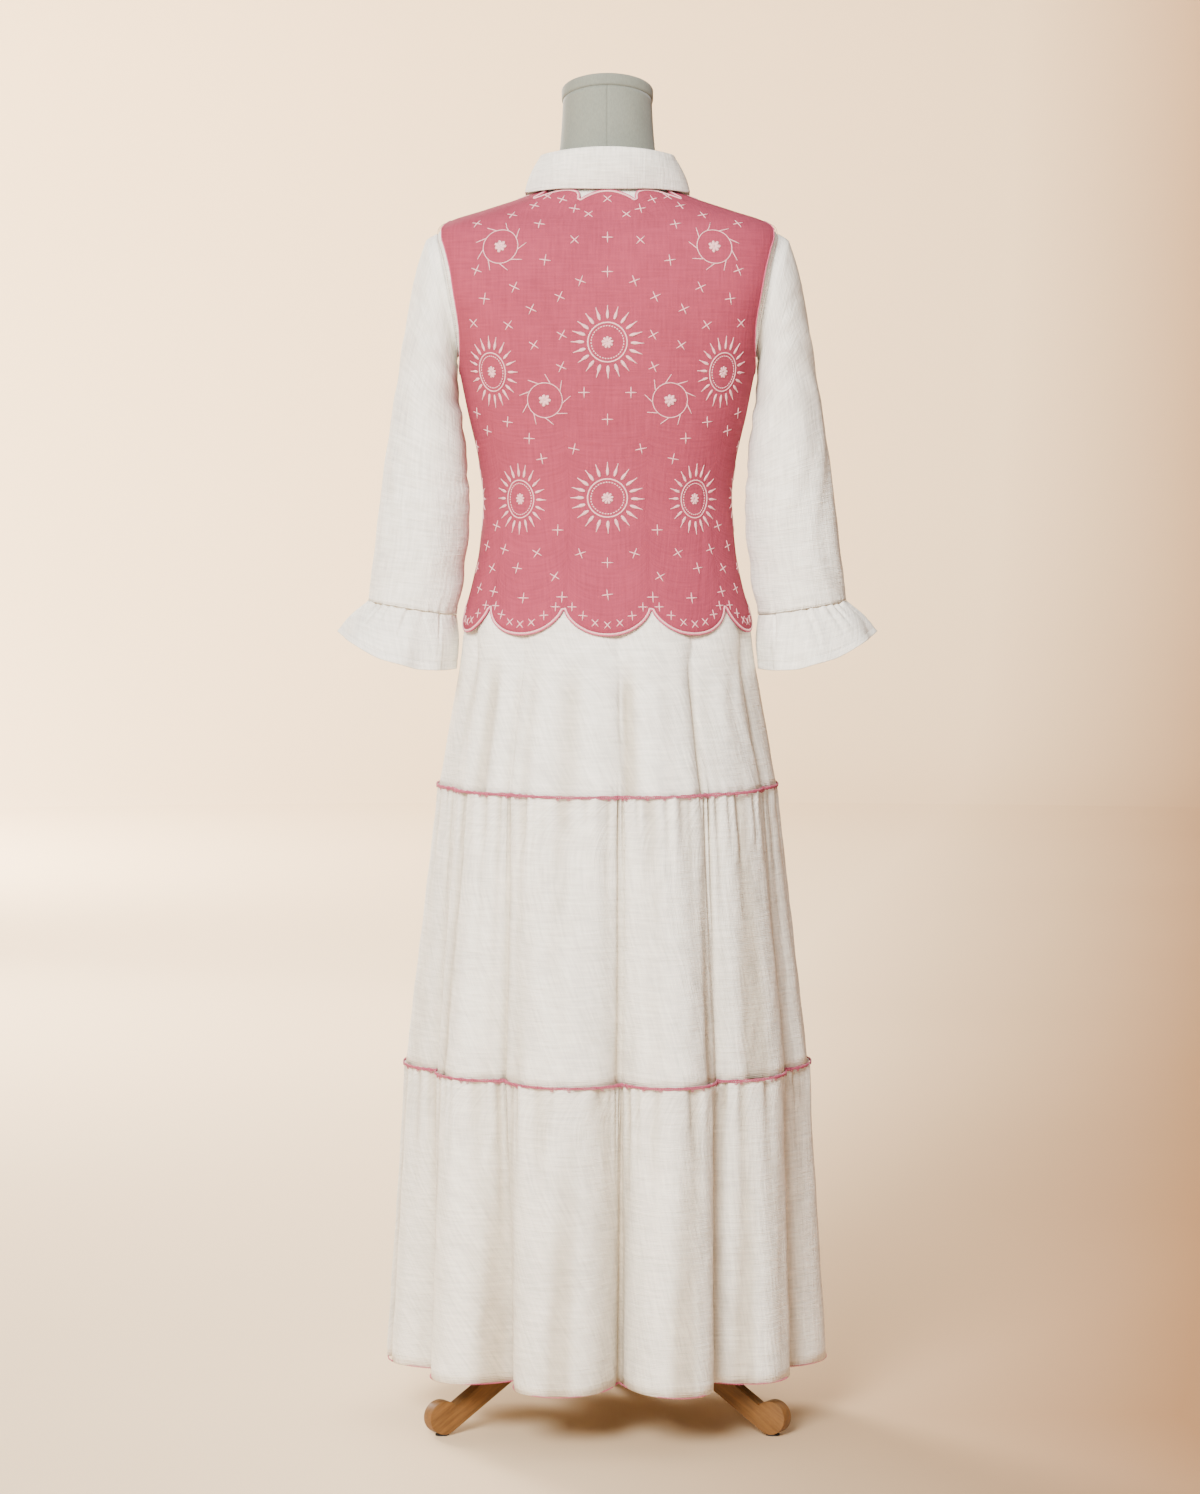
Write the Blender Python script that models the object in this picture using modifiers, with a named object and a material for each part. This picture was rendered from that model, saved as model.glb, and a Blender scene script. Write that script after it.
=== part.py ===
"""Tiered maxi dress with an embroidered vest, worn by a limbless dress form on a wooden tripod.

Metres, +Z up, origin on the floor under the form's pole. The back of the dress faces -Y and its
front faces +Y, so the wearer's right side is at +X. A turn is an angle round the figure, in
degrees: 0 is the centre back, 90 the right side, 180 the centre front and -90 the left side.
"""

import math
from collections import namedtuple

import bmesh
import bpy
from mathutils import Vector

# Driving heights, from the floor
HEM_HEIGHT = 0.0746
LOWER_SEAM_HEIGHT = 0.4450
UPPER_SEAM_HEIGHT = 0.7900
WAIST_HEIGHT = 1.1400
VEST_HEM_HEIGHT = 0.9790
FORM_BASE_HEIGHT = 0.8800

# Walls and clearances
CLOTH = 0.0012
VEST_CLOTH = 0.0016
BRAID = 0.0015
SEAM_GAP = 0.0003
BODICE_LIFT = 0.0015
VEST_LIFT = 0.0050
COLLAR_LIFT = 0.0085

# Panels meet at the sides, where a fold of the skirt stands out
SKIRT_SIDE = -89.0
FOLD_STEPS = 8
FIRST_TIER_STEPS = 6
GATHERS_DEPTH = 0.0030

# The figure under the cloth: one row for each level, with the dress form narrower by form_inset
# and the vest standing further off by vest_ease.
Level = namedtuple("Level", "height half_width back front middle power form_inset vest_ease")
FIGURE = (
    Level(0.8800, 0.1720, 0.1200, 0.1120, 0.000, 2.2, 0.0050, 0.0090),
    Level(0.9820, 0.1680, 0.1200, 0.1100, 0.000, 2.2, 0.0050, 0.0065),
    Level(1.0330, 0.1580, 0.1100, 0.1060, 0.000, 2.2, 0.0050, 0.0040),
    Level(1.0800, 0.1500, 0.0990, 0.1010, 0.000, 2.2, 0.0050, 0.0025),
    Level(1.1400, 0.1460, 0.0930, 0.1000, 0.000, 2.2, 0.0050, 0.0015),
    Level(1.1900, 0.1520, 0.0960, 0.1040, 0.000, 2.3, 0.0050, 0.0013),
    Level(1.2450, 0.1645, 0.1010, 0.1180, 0.000, 2.5, 0.0060, 0.0010),
    Level(1.2950, 0.1748, 0.1050, 0.1270, 0.000, 2.8, 0.0070, 0.0006),
    Level(1.3450, 0.1870, 0.1060, 0.1200, 0.000, 3.2, 0.0090, 0.0004),
    Level(1.3900, 0.1990, 0.1040, 0.1040, 0.000, 3.4, 0.0130, 0.0006),
    Level(1.4300, 0.2065, 0.0960, 0.0880, 0.000, 3.2, 0.0170, 0.0006),
    Level(1.4560, 0.2085, 0.0860, 0.0740, 0.000, 2.9, 0.0170, 0.0008),
    Level(1.4665, 0.2050, 0.0795, 0.0665, 0.000, 2.7, 0.0110, 0.0012),
    Level(1.4768, 0.1890, 0.0730, 0.0590, 0.001, 2.5, 0.0030, 0.0006),
    Level(1.4900, 0.1500, 0.0640, 0.0510, 0.002, 2.3, 0.0012, 0.0000),
    Level(1.5065, 0.1000, 0.0570, 0.0470, 0.004, 2.1, 0.0010, 0.0000),
    Level(1.5170, 0.0755, 0.0545, 0.0470, 0.005, 2.0, 0.0010, 0.0000),
    Level(1.5300, 0.0645, 0.0535, 0.0500, 0.006, 2.0, 0.0000, 0.0000),
    Level(1.5500, 0.0605, 0.0530, 0.0520, 0.007, 2.0, 0.0000, 0.0000),
    Level(1.5900, 0.0570, 0.0520, 0.0520, 0.008, 2.0, 0.0000, 0.0000),
    Level(1.6400, 0.0545, 0.0510, 0.0510, 0.009, 2.0, 0.0000, 0.0000),
)

# Skirt folds from the centre of one side to the other, repeated after half a turn. crest and
# recess are distances from the pole, and the recess is on the fold's far side.
Fold = namedtuple("Fold", "width crest_seam crest_hem recess_seam recess_hem")
FOLDS = (
    Fold(42.0, 0.2500, 0.2730, 0.2230, 0.2180),
    Fold(32.0, 0.2400, 0.2590, 0.2080, 0.1870),
    Fold(40.6, 0.2460, 0.2620, 0.2050, 0.1660),
    Fold(31.9, 0.2560, 0.2740, 0.2180, 0.1980),
    Fold(33.5, 0.2460, 0.2600, 0.2280, 0.2200),
)
CREST_SHARE = 0.115

# First tier below the vest's hem: the crests' outline, and how deep the folds are
TierLevel = namedtuple("TierLevel", "height half_width back front depth")
FIRST_TIER = (
    TierLevel(0.7900, 0.2080, 0.2040, 0.2040, 0.0090),
    TierLevel(0.9377, 0.1815, 0.1480, 0.1420, 0.0105),
)
FIRST_TIER_UNDER_VEST = (0.9820, 1.0330, 1.0800, 1.1400)
UNDER_VEST_DEPTHS = (0.0085, 0.0058, 0.0040, 0.0020)

# Sleeve: the points that its outline passes on its outer and its body side, seen from the back
SleeveRing = namedtuple("SleeveRing", "outer_x outer_z inner_x inner_z half_depth")
SLEEVE = (
    SleeveRing(0.2225, 1.4575, 0.1835, 1.3030, 0.0570),
    SleeveRing(0.2325, 1.4270, 0.1838, 1.2830, 0.0585),
    SleeveRing(0.2451, 1.3642, 0.1810, 1.2550, 0.0585),
    SleeveRing(0.2554, 1.3022, 0.1760, 1.2250, 0.0580),
    SleeveRing(0.2680, 1.2250, 0.1712, 1.1800, 0.0575),
    SleeveRing(0.2785, 1.1450, 0.1698, 1.1250, 0.0570),
    SleeveRing(0.2885, 1.0660, 0.1765, 1.0560, 0.0560),
    SleeveRing(0.2936, 1.0170, 0.1862, 0.9995, 0.0540),
)
SLEEVE_STEPS = 20
SLEEVE_STAND_OFF = 0.0025
ARMHOLE_TOP = 1.4665
ARMHOLE_BOTTOM = 1.3150
ARMHOLE_HALF_DEPTH = 0.0550

RUFFLE = (
    SleeveRing(0.2940, 1.0166, 0.1864, 0.9991, 0.0545),
    SleeveRing(0.3170, 0.9960, 0.1835, 0.9680, 0.0690),
    SleeveRing(0.3300, 0.9770, 0.1865, 0.9330, 0.0800),
)
RUFFLE_GATHERS = 24
RUFFLE_WAVES = 8
RUFFLE_DROP = 0.0120

# Vest
VEST_ARMHOLE_BOTTOM = 1.2950
VEST_ARMHOLE_TOP = 1.4768
VEST_ARMHOLE_HALF_DEPTH = 0.0705
ARMHOLE_LEAD = 9.0
SCALLOP_TURN = 36.0
SCALLOP_STEPS = 6
HEM_SCALLOP_RISE = 0.0310
NECK_SCALLOP_RISE = 0.0140
VEST_NECK_HEIGHT = 1.5035
VEST_FRONT_NECK_HEIGHT = 1.4250

# Collar
FOLD_HALF_WIDTH = 0.0800
FOLD_HALF_DEPTH = 0.0655
FOLD_MIDDLE = 0.0060
FOLD_BACK_HEIGHT = 1.5690
COLLAR_END_TURN = 176.0
COLLAR_POINT_TURN = 152.0
COLLAR_POINT_DEPTH = 0.0830
STAND_END_TURN = 178.5

# Stand
LEG_TURNS = (-60.0, 60.0, 180.0)
FOOT_DISTANCE = 0.2335
FOOT_RADIUS = 0.0205
PAD_HEIGHT = 0.0017
PAD_RADIUS = 0.0085
LEG_WIDTH = 0.0240
LEG_BOARD = 0.0180
LEG_SLOPE = 33.0
POLE_RADIUS = 0.0125
HUB_RADIUS = 0.0330
CAP_TILT = 0.345
CAP_HEIGHT = 0.0145
CAP_OVERHANG = 0.0016

BUTTON_HEIGHTS = (1.060, 1.125, 1.190, 1.255, 1.320, 1.385)
SHIRT_BUTTON_HEIGHTS = (1.447, 1.474)


def clear_scene():
    for item in list(bpy.data.objects):
        bpy.data.objects.remove(item, do_unlink=True)


def new_collection(name):
    collection = bpy.data.collections.new(name)
    bpy.context.scene.collection.children.link(collection)
    return collection


def finish(name, red, green, blue, roughness):
    """Principled finish from a linear colour."""
    material = bpy.data.materials.new(name)
    material.use_nodes = True
    shader = material.node_tree.nodes["Principled BSDF"]
    shader.inputs["Base Color"].default_value = (red, green, blue, 1.0)
    shader.inputs["Roughness"].default_value = roughness
    shader.inputs["Metallic"].default_value = 0.0
    return material


def smoothstep(share):
    share = min(1.0, max(0.0, share))
    return share * share * (3.0 - 2.0 * share)


def between(table, column, height):
    """A column's value at a height, on a monotone cubic through the table's rows."""
    rows = sorted(table, key=lambda row: row.height)
    heights = [row.height for row in rows]
    values = [getattr(row, column) for row in rows]
    height = min(heights[-1], max(heights[0], height))
    last = len(rows) - 1
    at = max(i for i in range(last) if heights[i] <= height or i == 0)
    spans = [heights[i + 1] - heights[i] for i in range(last)]
    slopes = [(values[i + 1] - values[i]) / spans[i] for i in range(last)]

    def tangent(i):
        if i in (0, last):
            return slopes[0] if i == 0 else slopes[-1]
        if slopes[i - 1] * slopes[i] <= 0.0:
            return 0.0
        return 2.0 * slopes[i - 1] * slopes[i] / (slopes[i - 1] + slopes[i])

    span = spans[at]
    share = (height - heights[at]) / span
    square, cube = share * share, share * share * share
    return (
        (2 * cube - 3 * square + 1) * values[at]
        + (cube - 2 * square + share) * span * tangent(at)
        + (3 * square - 2 * cube) * values[at + 1]
        + (cube - square) * span * tangent(at + 1)
    )


def outline_point(turn, half_width, back, front, middle, power):
    """Point of a rounded section at a turn round the figure, as x and y."""
    angle = math.radians(turn)
    across, along = math.sin(angle), -math.cos(angle)
    depth = back if along < 0.0 else front
    reach = (abs(across) ** power + abs(along) ** power) ** (-1.0 / power)
    return half_width * across * reach, middle + depth * along * reach


def figure_on_level(turn, height, form=False):
    inset = between(FIGURE, "form_inset", height) if form else 0.0
    x, y = outline_point(
        turn,
        between(FIGURE, "half_width", height) - inset,
        between(FIGURE, "back", height) - min(inset, 0.006),
        between(FIGURE, "front", height) - min(inset, 0.006),
        between(FIGURE, "middle", height),
        between(FIGURE, "power", height),
    )
    return Vector((x, y, height))


def on_figure(turn, height, lift):
    """Point at a turn and height of the figure, lifted straight off its surface."""
    small_turn, small_rise = 0.5, 0.0005
    round_it = figure_on_level(turn + small_turn, height) - figure_on_level(turn - small_turn, height)
    up_it = figure_on_level(turn, height + small_rise) - figure_on_level(turn, height - small_rise)
    return figure_on_level(turn, height) + round_it.cross(up_it).normalized() * lift


def figure_half_width_at(depth, height):
    """How far from the middle plane the figure's side is, at a depth and height."""
    middle = between(FIGURE, "middle", height)
    reach = between(FIGURE, "back" if depth < middle else "front", height)
    power = between(FIGURE, "power", height)
    share = min(0.999, abs(depth - middle) / reach)
    return between(FIGURE, "half_width", height) * (1.0 - share**power) ** (1.0 / power)


def turn_at_depth(depth, height):
    """The turn, from the side towards the back, where the figure reaches a depth."""
    low, high = 0.0, 90.0
    for _ in range(40):
        half = (low + high) / 2
        if abs(figure_on_level(90.0 - half, height).y - between(FIGURE, "middle", height)) < depth:
            low = half
        else:
            high = half
    return low


def armhole_turn(height, bottom, top, half_depth):
    """Turn between the side and the armhole's edge. It is 0 outside the armhole."""
    if not bottom < height < top:
        return 0.0
    share = (height - (bottom + top) / 2) / ((top - bottom) / 2)
    return turn_at_depth(half_depth * math.sqrt(1.0 - share * share), height)


def sheet_mesh(name, rows, closed):
    """Open surface through rows of points that go anticlockwise, from the lowest row up."""
    mesh = bpy.data.meshes.new(name)
    shell = bmesh.new()
    grid = [[shell.verts.new(point) for point in row] for row in rows]
    count = len(rows[0])
    for low, high in zip(grid, grid[1:]):
        for i in range(count if closed else count - 1):
            j = (i + 1) % count
            shell.faces.new((low[i], low[j], high[j], high[i]))
    shell.to_mesh(mesh)
    shell.free()
    mesh.shade_smooth()
    return mesh


def add_object(name, mesh, material, collection):
    item = bpy.data.objects.new(name, mesh)
    item.data.materials.clear()
    item.data.materials.append(material)
    collection.objects.link(item)
    return item


def cloth(name, rows, thickness, material, collection, closed=False, outwards=False):
    """Wall of cloth whose outer face passes through the rows, or whose inner face does."""
    item = add_object(name, sheet_mesh(name, rows, closed), material, collection)
    wall = item.modifiers.new("Wall", "SOLIDIFY")
    wall.thickness = thickness
    wall.offset = 1.0 if outwards else -1.0
    wall.use_even_offset = True
    return item


def turned(name, profile, steps, material, collection):
    """Solid turned round the pole's axis, from a profile of radius and height, top to bottom."""
    mesh = bpy.data.meshes.new(name)
    line = bmesh.new()
    points = [line.verts.new((radius, 0.0, height)) for radius, height in profile]
    for one, other in zip(points, points[1:]):
        line.edges.new((one, other))
    line.to_mesh(mesh)
    line.free()
    item = add_object(name, mesh, material, collection)
    screw = item.modifiers.new("Turn", "SCREW")
    screw.steps = steps
    screw.render_steps = steps
    screw.use_merge_vertices = True
    screw.merge_threshold = 0.00005
    return item


def mirrored(name, source, collection):
    """Copy of a piece on the other side of the figure, with its faces still pointing out."""
    mesh = source.data.copy()
    for vertex in mesh.vertices:
        vertex.co.x = -vertex.co.x
    mesh.flip_normals()
    item = add_object(name, mesh, source.data.materials[0], collection)
    for modifier in source.modifiers:
        wall = item.modifiers.new(modifier.name, "SOLIDIFY")
        wall.thickness = modifier.thickness
        wall.offset = modifier.offset
        wall.use_even_offset = modifier.use_even_offset
    return item


def skirt_fold(share):
    """Turn, crest radii and recess radii at a share from 0 to 1 of half the skirt, side to side."""
    total = sum(fold.width for fold in FOLDS)
    step = share * len(FOLDS)
    at = int(math.floor(step))
    lap = step - at
    starts = [SKIRT_SIDE + sum(fold.width for fold in FOLDS[:i]) - FOLDS[0].width / 2 for i in range(len(FOLDS))]
    half_turns, index = divmod(at, len(FOLDS))
    fold = FOLDS[index]
    before = FOLDS[index - 1]
    phase = lap - 0.5
    middle = starts[index] + fold.width / 2 + half_turns * total
    turn = middle + fold.width * (phase + CREST_SHARE * math.sin(2 * math.pi * phase))
    blend = 0.5 + 0.5 * math.cos(2 * math.pi * phase)
    valley = before if phase < 0.0 else fold
    return turn, blend, fold, valley


def half_skirt_steps(half, fold_steps=FOLD_STEPS):
    """Shares along the skirt's folds for the back (half 0) or the front (half 1) panel."""
    count = len(FOLDS) * fold_steps
    lead = 0.5 / len(FOLDS)
    return [half + lead + i / count for i in range(count + 1)]


def gather(index, count):
    """In or out at each step of a gathered edge. It is still at the panel's ends."""
    if index < 2 or index > count - 2:
        return 0.0
    return 0.5 if index % 2 else -0.5


def skirt_radius(share, height):
    """Distance from the pole to the skirt below its upper seam."""
    turn, blend, fold, valley = skirt_fold(share)
    if height >= LOWER_SEAM_HEIGHT:
        drop = (UPPER_SEAM_HEIGHT - height) / (UPPER_SEAM_HEIGHT - LOWER_SEAM_HEIGHT)
        crest = FIRST_TIER[0].half_width + (fold.crest_seam - FIRST_TIER[0].half_width) * drop
        top_recess = FIRST_TIER[0].half_width - FIRST_TIER[0].depth
        recess = top_recess + (valley.recess_seam - top_recess) * drop
    else:
        drop = (LOWER_SEAM_HEIGHT - height) / (LOWER_SEAM_HEIGHT - HEM_HEIGHT)
        crest = fold.crest_seam + (fold.crest_hem - fold.crest_seam) * drop
        recess = valley.recess_seam + (valley.recess_hem - valley.recess_seam) * drop
    return turn, recess + (crest - recess) * blend


def skirt_point(share, height, lift=0.0):
    """Point of the skirt, lifted square to its folds."""

    def place(at):
        turn, radius = skirt_radius(at, height)
        angle = math.radians(turn)
        return Vector((radius * math.sin(angle), -radius * math.cos(angle), height))

    step = 0.002
    round_it = place(share + step) - place(share - step)
    outwards = Vector((round_it.y, -round_it.x, 0.0)).normalized()
    return place(share) + outwards * lift


def part_from_side(rows, half):
    """Moves a half skirt's first and last columns off the side seam by half the seam's gap."""
    inwards = -SEAM_GAP if half == 0 else SEAM_GAP
    for row in rows:
        for point in (row[0], row[-1]):
            point.y += inwards
    return rows


def lower_tier_rows(half, top, bottom, shares):
    """Rows of a gathered tier from its hem up. The gathers die out a third of the way down."""
    steps = half_skirt_steps(half)
    rows = []
    for share in reversed(shares):
        height = top + (bottom - top) * share
        strength = GATHERS_DEPTH * (1.0 - smoothstep(share * 3.0))
        row = []
        for i, step in enumerate(steps):
            fullness = 0.4 + 0.6 * skirt_fold(step)[1]
            row.append(skirt_point(step, height, strength * fullness * gather(i, len(steps) - 1)))
        rows.append(row)
    return part_from_side(rows, half)


def first_tier_rows(half):
    """Rows of the tier that hangs from the waist, from its lower seam up."""
    levels = [(row.height, row.half_width, row.back, row.front, 0.0, 2.0, row.depth) for row in FIRST_TIER]
    levels.sort()
    for height, depth in zip(FIRST_TIER_UNDER_VEST, UNDER_VEST_DEPTHS):
        lift = VEST_LIFT - VEST_CLOTH + between(FIGURE, "vest_ease", height) - 0.0012
        levels.append(
            (
                height - (SEAM_GAP if height == WAIST_HEIGHT else 0.0),
                between(FIGURE, "half_width", height) + lift,
                between(FIGURE, "back", height) + lift,
                between(FIGURE, "front", height) + lift,
                0.0,
                between(FIGURE, "power", height),
                depth,
            )
        )
    levels[0] = (levels[0][0] + SEAM_GAP, *levels[0][1:])
    rows = []
    for height, half_width, back, front, middle, power, depth in levels:
        row = []
        for step in half_skirt_steps(half, FIRST_TIER_STEPS):
            turn, blend, _, _ = skirt_fold(step)
            inset = depth * (1.0 - blend)
            x, y = outline_point(turn, half_width - inset, back - inset, front - inset, middle, power)
            row.append(Vector((x, y, height)))
        rows.append(row)
    return part_from_side(rows, half)


def make_skirt(white, rose, collection):
    tiers = (
        ("tier_2", UPPER_SEAM_HEIGHT, LOWER_SEAM_HEIGHT + SEAM_GAP),
        ("tier_3", LOWER_SEAM_HEIGHT, HEM_HEIGHT),
    )
    for half, side in enumerate(("back", "front")):
        cloth(f"tier_1_{side}", first_tier_rows(half), CLOTH, white, collection)
        for name, top, bottom in tiers:
            rows = lower_tier_rows(half, top, bottom, (0.0, 0.10, 0.34, 0.67, 1.0))
            cloth(f"{name}_{side}", rows, CLOTH, white, collection)
    steps = half_skirt_steps(0)[:-1] + half_skirt_steps(1)[:-1]
    lift = GATHERS_DEPTH / 2 + SEAM_GAP
    for name, height in (("braid_upper", UPPER_SEAM_HEIGHT), ("braid_lower", LOWER_SEAM_HEIGHT)):
        rows = [[skirt_point(step, height + rise, lift) for step in steps] for rise in (-0.0022, 0.0022)]
        cloth(name, rows, BRAID, rose, collection, closed=True, outwards=True)


def neckline_height(turn):
    """Top edge of the dress's bodice, lower at the front."""
    forward = smoothstep((abs(turn) - 90.0) / 90.0)
    return 1.5170 - 0.0200 * forward


def panel_height(level, turn, armhole, bottom_at, top_at):
    """Height of a body panel's row. The front's rows lean down to the centre of the neckline.

    level runs from 0 at the hem to 1 at the underarm, 2 at the shoulder's tip and 3 at the neck.
    """
    bottom, top, _ = armhole
    ends = (bottom_at(turn), bottom, top, top_at(turn))
    stage = min(2, int(level))
    height = ends[stage] + (ends[stage + 1] - ends[stage]) * (level - stage)
    if abs(turn) > 90.0 and level > 1.0:
        leaning = ends[1] + (ends[3] - ends[1]) * (level - 1.0) / 2.0
        height += (leaning - height) * smoothstep((abs(turn) - 120.0) / 60.0)
    return height


def panel_rows(levels, start, end, count, lift_at, armhole, bottom_at, top_at):
    """Rows of a body panel between two turns, hem first. Its columns draw in at the armhole."""
    bottom, top, half_depth = armhole
    facing = 1.0 if end > 90.0 else -1.0
    rows = []
    for level in levels:
        edge = armhole_turn(bottom + (top - bottom) * max(0.0, level - 1.0), bottom, top, half_depth)
        away = 1.0 - level if level < 1.5 else level - 2.0
        inner = max(edge, ARMHOLE_LEAD * (1.0 - abs(away) / 0.5))
        row = []
        for i in range(count + 1):
            turn = start + (end - start) * i / count
            height = panel_height(level, turn, armhole, bottom_at, top_at)
            share = abs(abs(turn) - 90.0) / 90.0
            inset = inner if share > 0.0 else edge
            moved = 90.0 + facing * (90.0 * share + inset * (1.0 - share) ** 2)
            row.append(on_figure(math.copysign(moved, turn), height, lift_at(height)))
        rows.append(row)
    return rows


def centre_strip(levels, count, lift_at, armhole, bottom_at, top_at):
    """Rows of a strip over the centre front, one column of the fronts wide on each side."""
    rows = []
    for row in panel_rows(levels, 90.0, 180.0, count, lift_at, armhole, bottom_at, top_at):
        side, middle = row[-2], row[-1]
        rows.append([side, Vector((0.0, middle.y, middle.z)), Vector((-side.x, side.y, side.z))])
    return rows


def front_gap(rows, side):
    """Moves the centre front edge of a front panel off the middle plane."""
    column = -1 if side > 0 else 0
    for row in rows:
        row[column].x = side * SEAM_GAP
    return rows


def side_gap(rows, columns, inwards):
    for row in rows:
        for column in columns:
            row[column].y += inwards
    return rows


def bodice_lift(height):
    return BODICE_LIFT


def placket_lift(height):
    return BODICE_LIFT + SEAM_GAP + CLOTH


def vest_lift(height):
    return VEST_LIFT + between(FIGURE, "vest_ease", height)


def band_lift(height):
    return vest_lift(height) + 2 * SEAM_GAP + CLOTH


def waist(turn):
    return WAIST_HEIGHT + SEAM_GAP


def make_bodice(white, pearl, collection):
    levels = (0.0, 0.34, 0.67, 1.0, 1.067, 1.25, 1.5, 1.75, 1.933, 2.0, 2.26, 2.60, 3.0)
    shape = ((ARMHOLE_BOTTOM, ARMHOLE_TOP, ARMHOLE_HALF_DEPTH), waist, neckline_height)
    back = panel_rows(levels, -90.0, 90.0, 24, bodice_lift, *shape)
    cloth("bodice_back", side_gap(back, (0, -1), -SEAM_GAP), CLOTH, white, collection)
    right = panel_rows(levels, 90.0, 180.0, 12, bodice_lift, *shape)
    right = front_gap(side_gap(right, (0,), SEAM_GAP), 1)
    item = cloth("bodice_front_right", right, CLOTH, white, collection)
    mirrored("bodice_front_left", item, collection)
    placket = centre_strip(levels[8:], 12, placket_lift, *shape)
    cloth("front_placket", placket, CLOTH, white, collection)
    for number, height in enumerate(SHIRT_BUTTON_HEIGHTS, 1):
        add_button(f"shirt_button_{number}", placket, height, 0.0050, pearl, collection)


def scallop_arch(turn):
    """0 at a scallop's notches and 1 in its middle, on an arc."""
    lap = (turn / SCALLOP_TURN + 0.5) % 1.0
    return math.sqrt(max(0.0, 1.0 - (2.0 * lap - 1.0) ** 2)) ** 1.25


def vest_hem(turn):
    return VEST_HEM_HEIGHT + HEM_SCALLOP_RISE * (1.0 - scallop_arch(turn))


def vest_neck(turn):
    forward = max(0.0, (abs(turn) - 90.0) / 90.0)
    edge = VEST_NECK_HEIGHT + (VEST_FRONT_NECK_HEIGHT - VEST_NECK_HEIGHT) * forward**1.5
    return edge + NECK_SCALLOP_RISE * scallop_arch(turn)


def make_vest(rose, pearl, collection):
    levels = (0.0, 0.171, 0.32, 0.51, 0.755, 1.0, 1.067, 1.25, 1.56, 1.82, 1.933, 2.0, 2.5, 3.0)
    shape = ((VEST_ARMHOLE_BOTTOM, VEST_ARMHOLE_TOP, VEST_ARMHOLE_HALF_DEPTH), vest_hem, vest_neck)
    columns = int(180.0 / SCALLOP_TURN * SCALLOP_STEPS)
    back = panel_rows(levels, -90.0, 90.0, columns, vest_lift, *shape)
    cloth("vest_back", side_gap(back, (0, -1), -SEAM_GAP), VEST_CLOTH, rose, collection)
    right = panel_rows(levels, 90.0, 180.0, columns // 2, vest_lift, *shape)
    right = front_gap(side_gap(right, (0,), SEAM_GAP), 1)
    item = cloth("vest_front_right", right, VEST_CLOTH, rose, collection)
    mirrored("vest_front_left", item, collection)
    band = centre_strip(levels, columns // 2, band_lift, *shape)
    cloth("vest_front_band", band, CLOTH, rose, collection)
    for number, height in enumerate(BUTTON_HEIGHTS, 1):
        add_button(f"vest_button_{number}", band, height, 0.0060, pearl, collection)


def add_button(name, strip, height, radius, material, collection):
    """Flat round button on a strip's centre line, square to the cloth."""
    thickness = 0.0022
    line = [row[1] for row in strip]
    at = max(i for i in range(len(line) - 1) if line[i].z <= height or i == 0)
    low, high = line[at], line[at + 1]
    base = low.lerp(high, (height - low.z) / (high.z - low.z))
    normal = Vector((-1.0, 0.0, 0.0)).cross(high - low).normalized()
    if normal.y < 0.0:
        normal = -normal
    mesh = bpy.data.meshes.new(name)
    disc = bmesh.new()
    bmesh.ops.create_cone(
        disc, cap_ends=True, segments=12, radius1=radius, radius2=radius * 0.85, depth=thickness
    )
    disc.to_mesh(mesh)
    disc.free()
    item = add_object(name, mesh, material, collection)
    item.location = base + normal * (thickness / 2 + SEAM_GAP)
    item.rotation_mode = "QUATERNION"
    item.rotation_quaternion = normal.to_track_quat("Z", "Y")
    return item


def fold_height(turn):
    """Height of the collar's fold line: high at the back, low where the collar closes."""
    side = smoothstep(abs(turn) / 90.0)
    forward = smoothstep((abs(turn) - 90.0) / 90.0)
    return FOLD_BACK_HEIGHT - 0.0080 * side - 0.0370 * forward


def fold_point(turn, outwards, rise):
    reach = FOLD_HALF_DEPTH + outwards
    x, y = outline_point(turn, FOLD_HALF_WIDTH + outwards, reach, reach, FOLD_MIDDLE, 2.0)
    return Vector((x, y, fold_height(turn) + rise))


def fold_turn(turn):
    """Turn on the collar's fold line above a turn on the fall's lower edge."""
    spread = COLLAR_END_TURN - COLLAR_POINT_TURN
    return turn + math.copysign(spread * smoothstep((abs(turn) - 60.0) / (COLLAR_POINT_TURN - 60.0)), turn)


def figure_height_at(x, y):
    """Height at which the figure's section passes through a place seen from above, near its shoulders."""
    low, high = 1.4000, 1.5300
    for _ in range(30):
        height = (low + high) / 2
        depth = y - between(FIGURE, "middle", height)
        reach = between(FIGURE, "back" if depth < 0.0 else "front", height)
        power = between(FIGURE, "power", height)
        if (abs(x) / between(FIGURE, "half_width", height)) ** power + (abs(depth) / reach) ** power > 1.0:
            high = height
        else:
            low = height
    return (low + high) / 2


def collar_edge(turn):
    """Lower edge of the collar's fall, above the vest. It runs straight forward from the sides."""
    share = abs(turn) / 90.0
    lift = COLLAR_LIFT + 0.0030 * smoothstep((abs(turn) - 75.0) / 25.0)
    if share <= 1.0:
        return on_figure(turn, 1.5165 - 0.0090 * smoothstep(share), lift)
    side = on_figure(90.0, 1.5075, 0.0)
    forward = ((abs(turn) - 90.0) / (COLLAR_POINT_TURN - 90.0)) ** 1.2
    depth = side.y + (COLLAR_POINT_DEPTH - side.y) * forward
    height = figure_height_at(side.x, depth)
    across = side.x / between(FIGURE, "half_width", height)
    along = (depth - between(FIGURE, "middle", height)) / between(FIGURE, "front", height)
    return on_figure(math.copysign(math.degrees(math.atan2(across, -along)), turn), height, lift)


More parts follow.
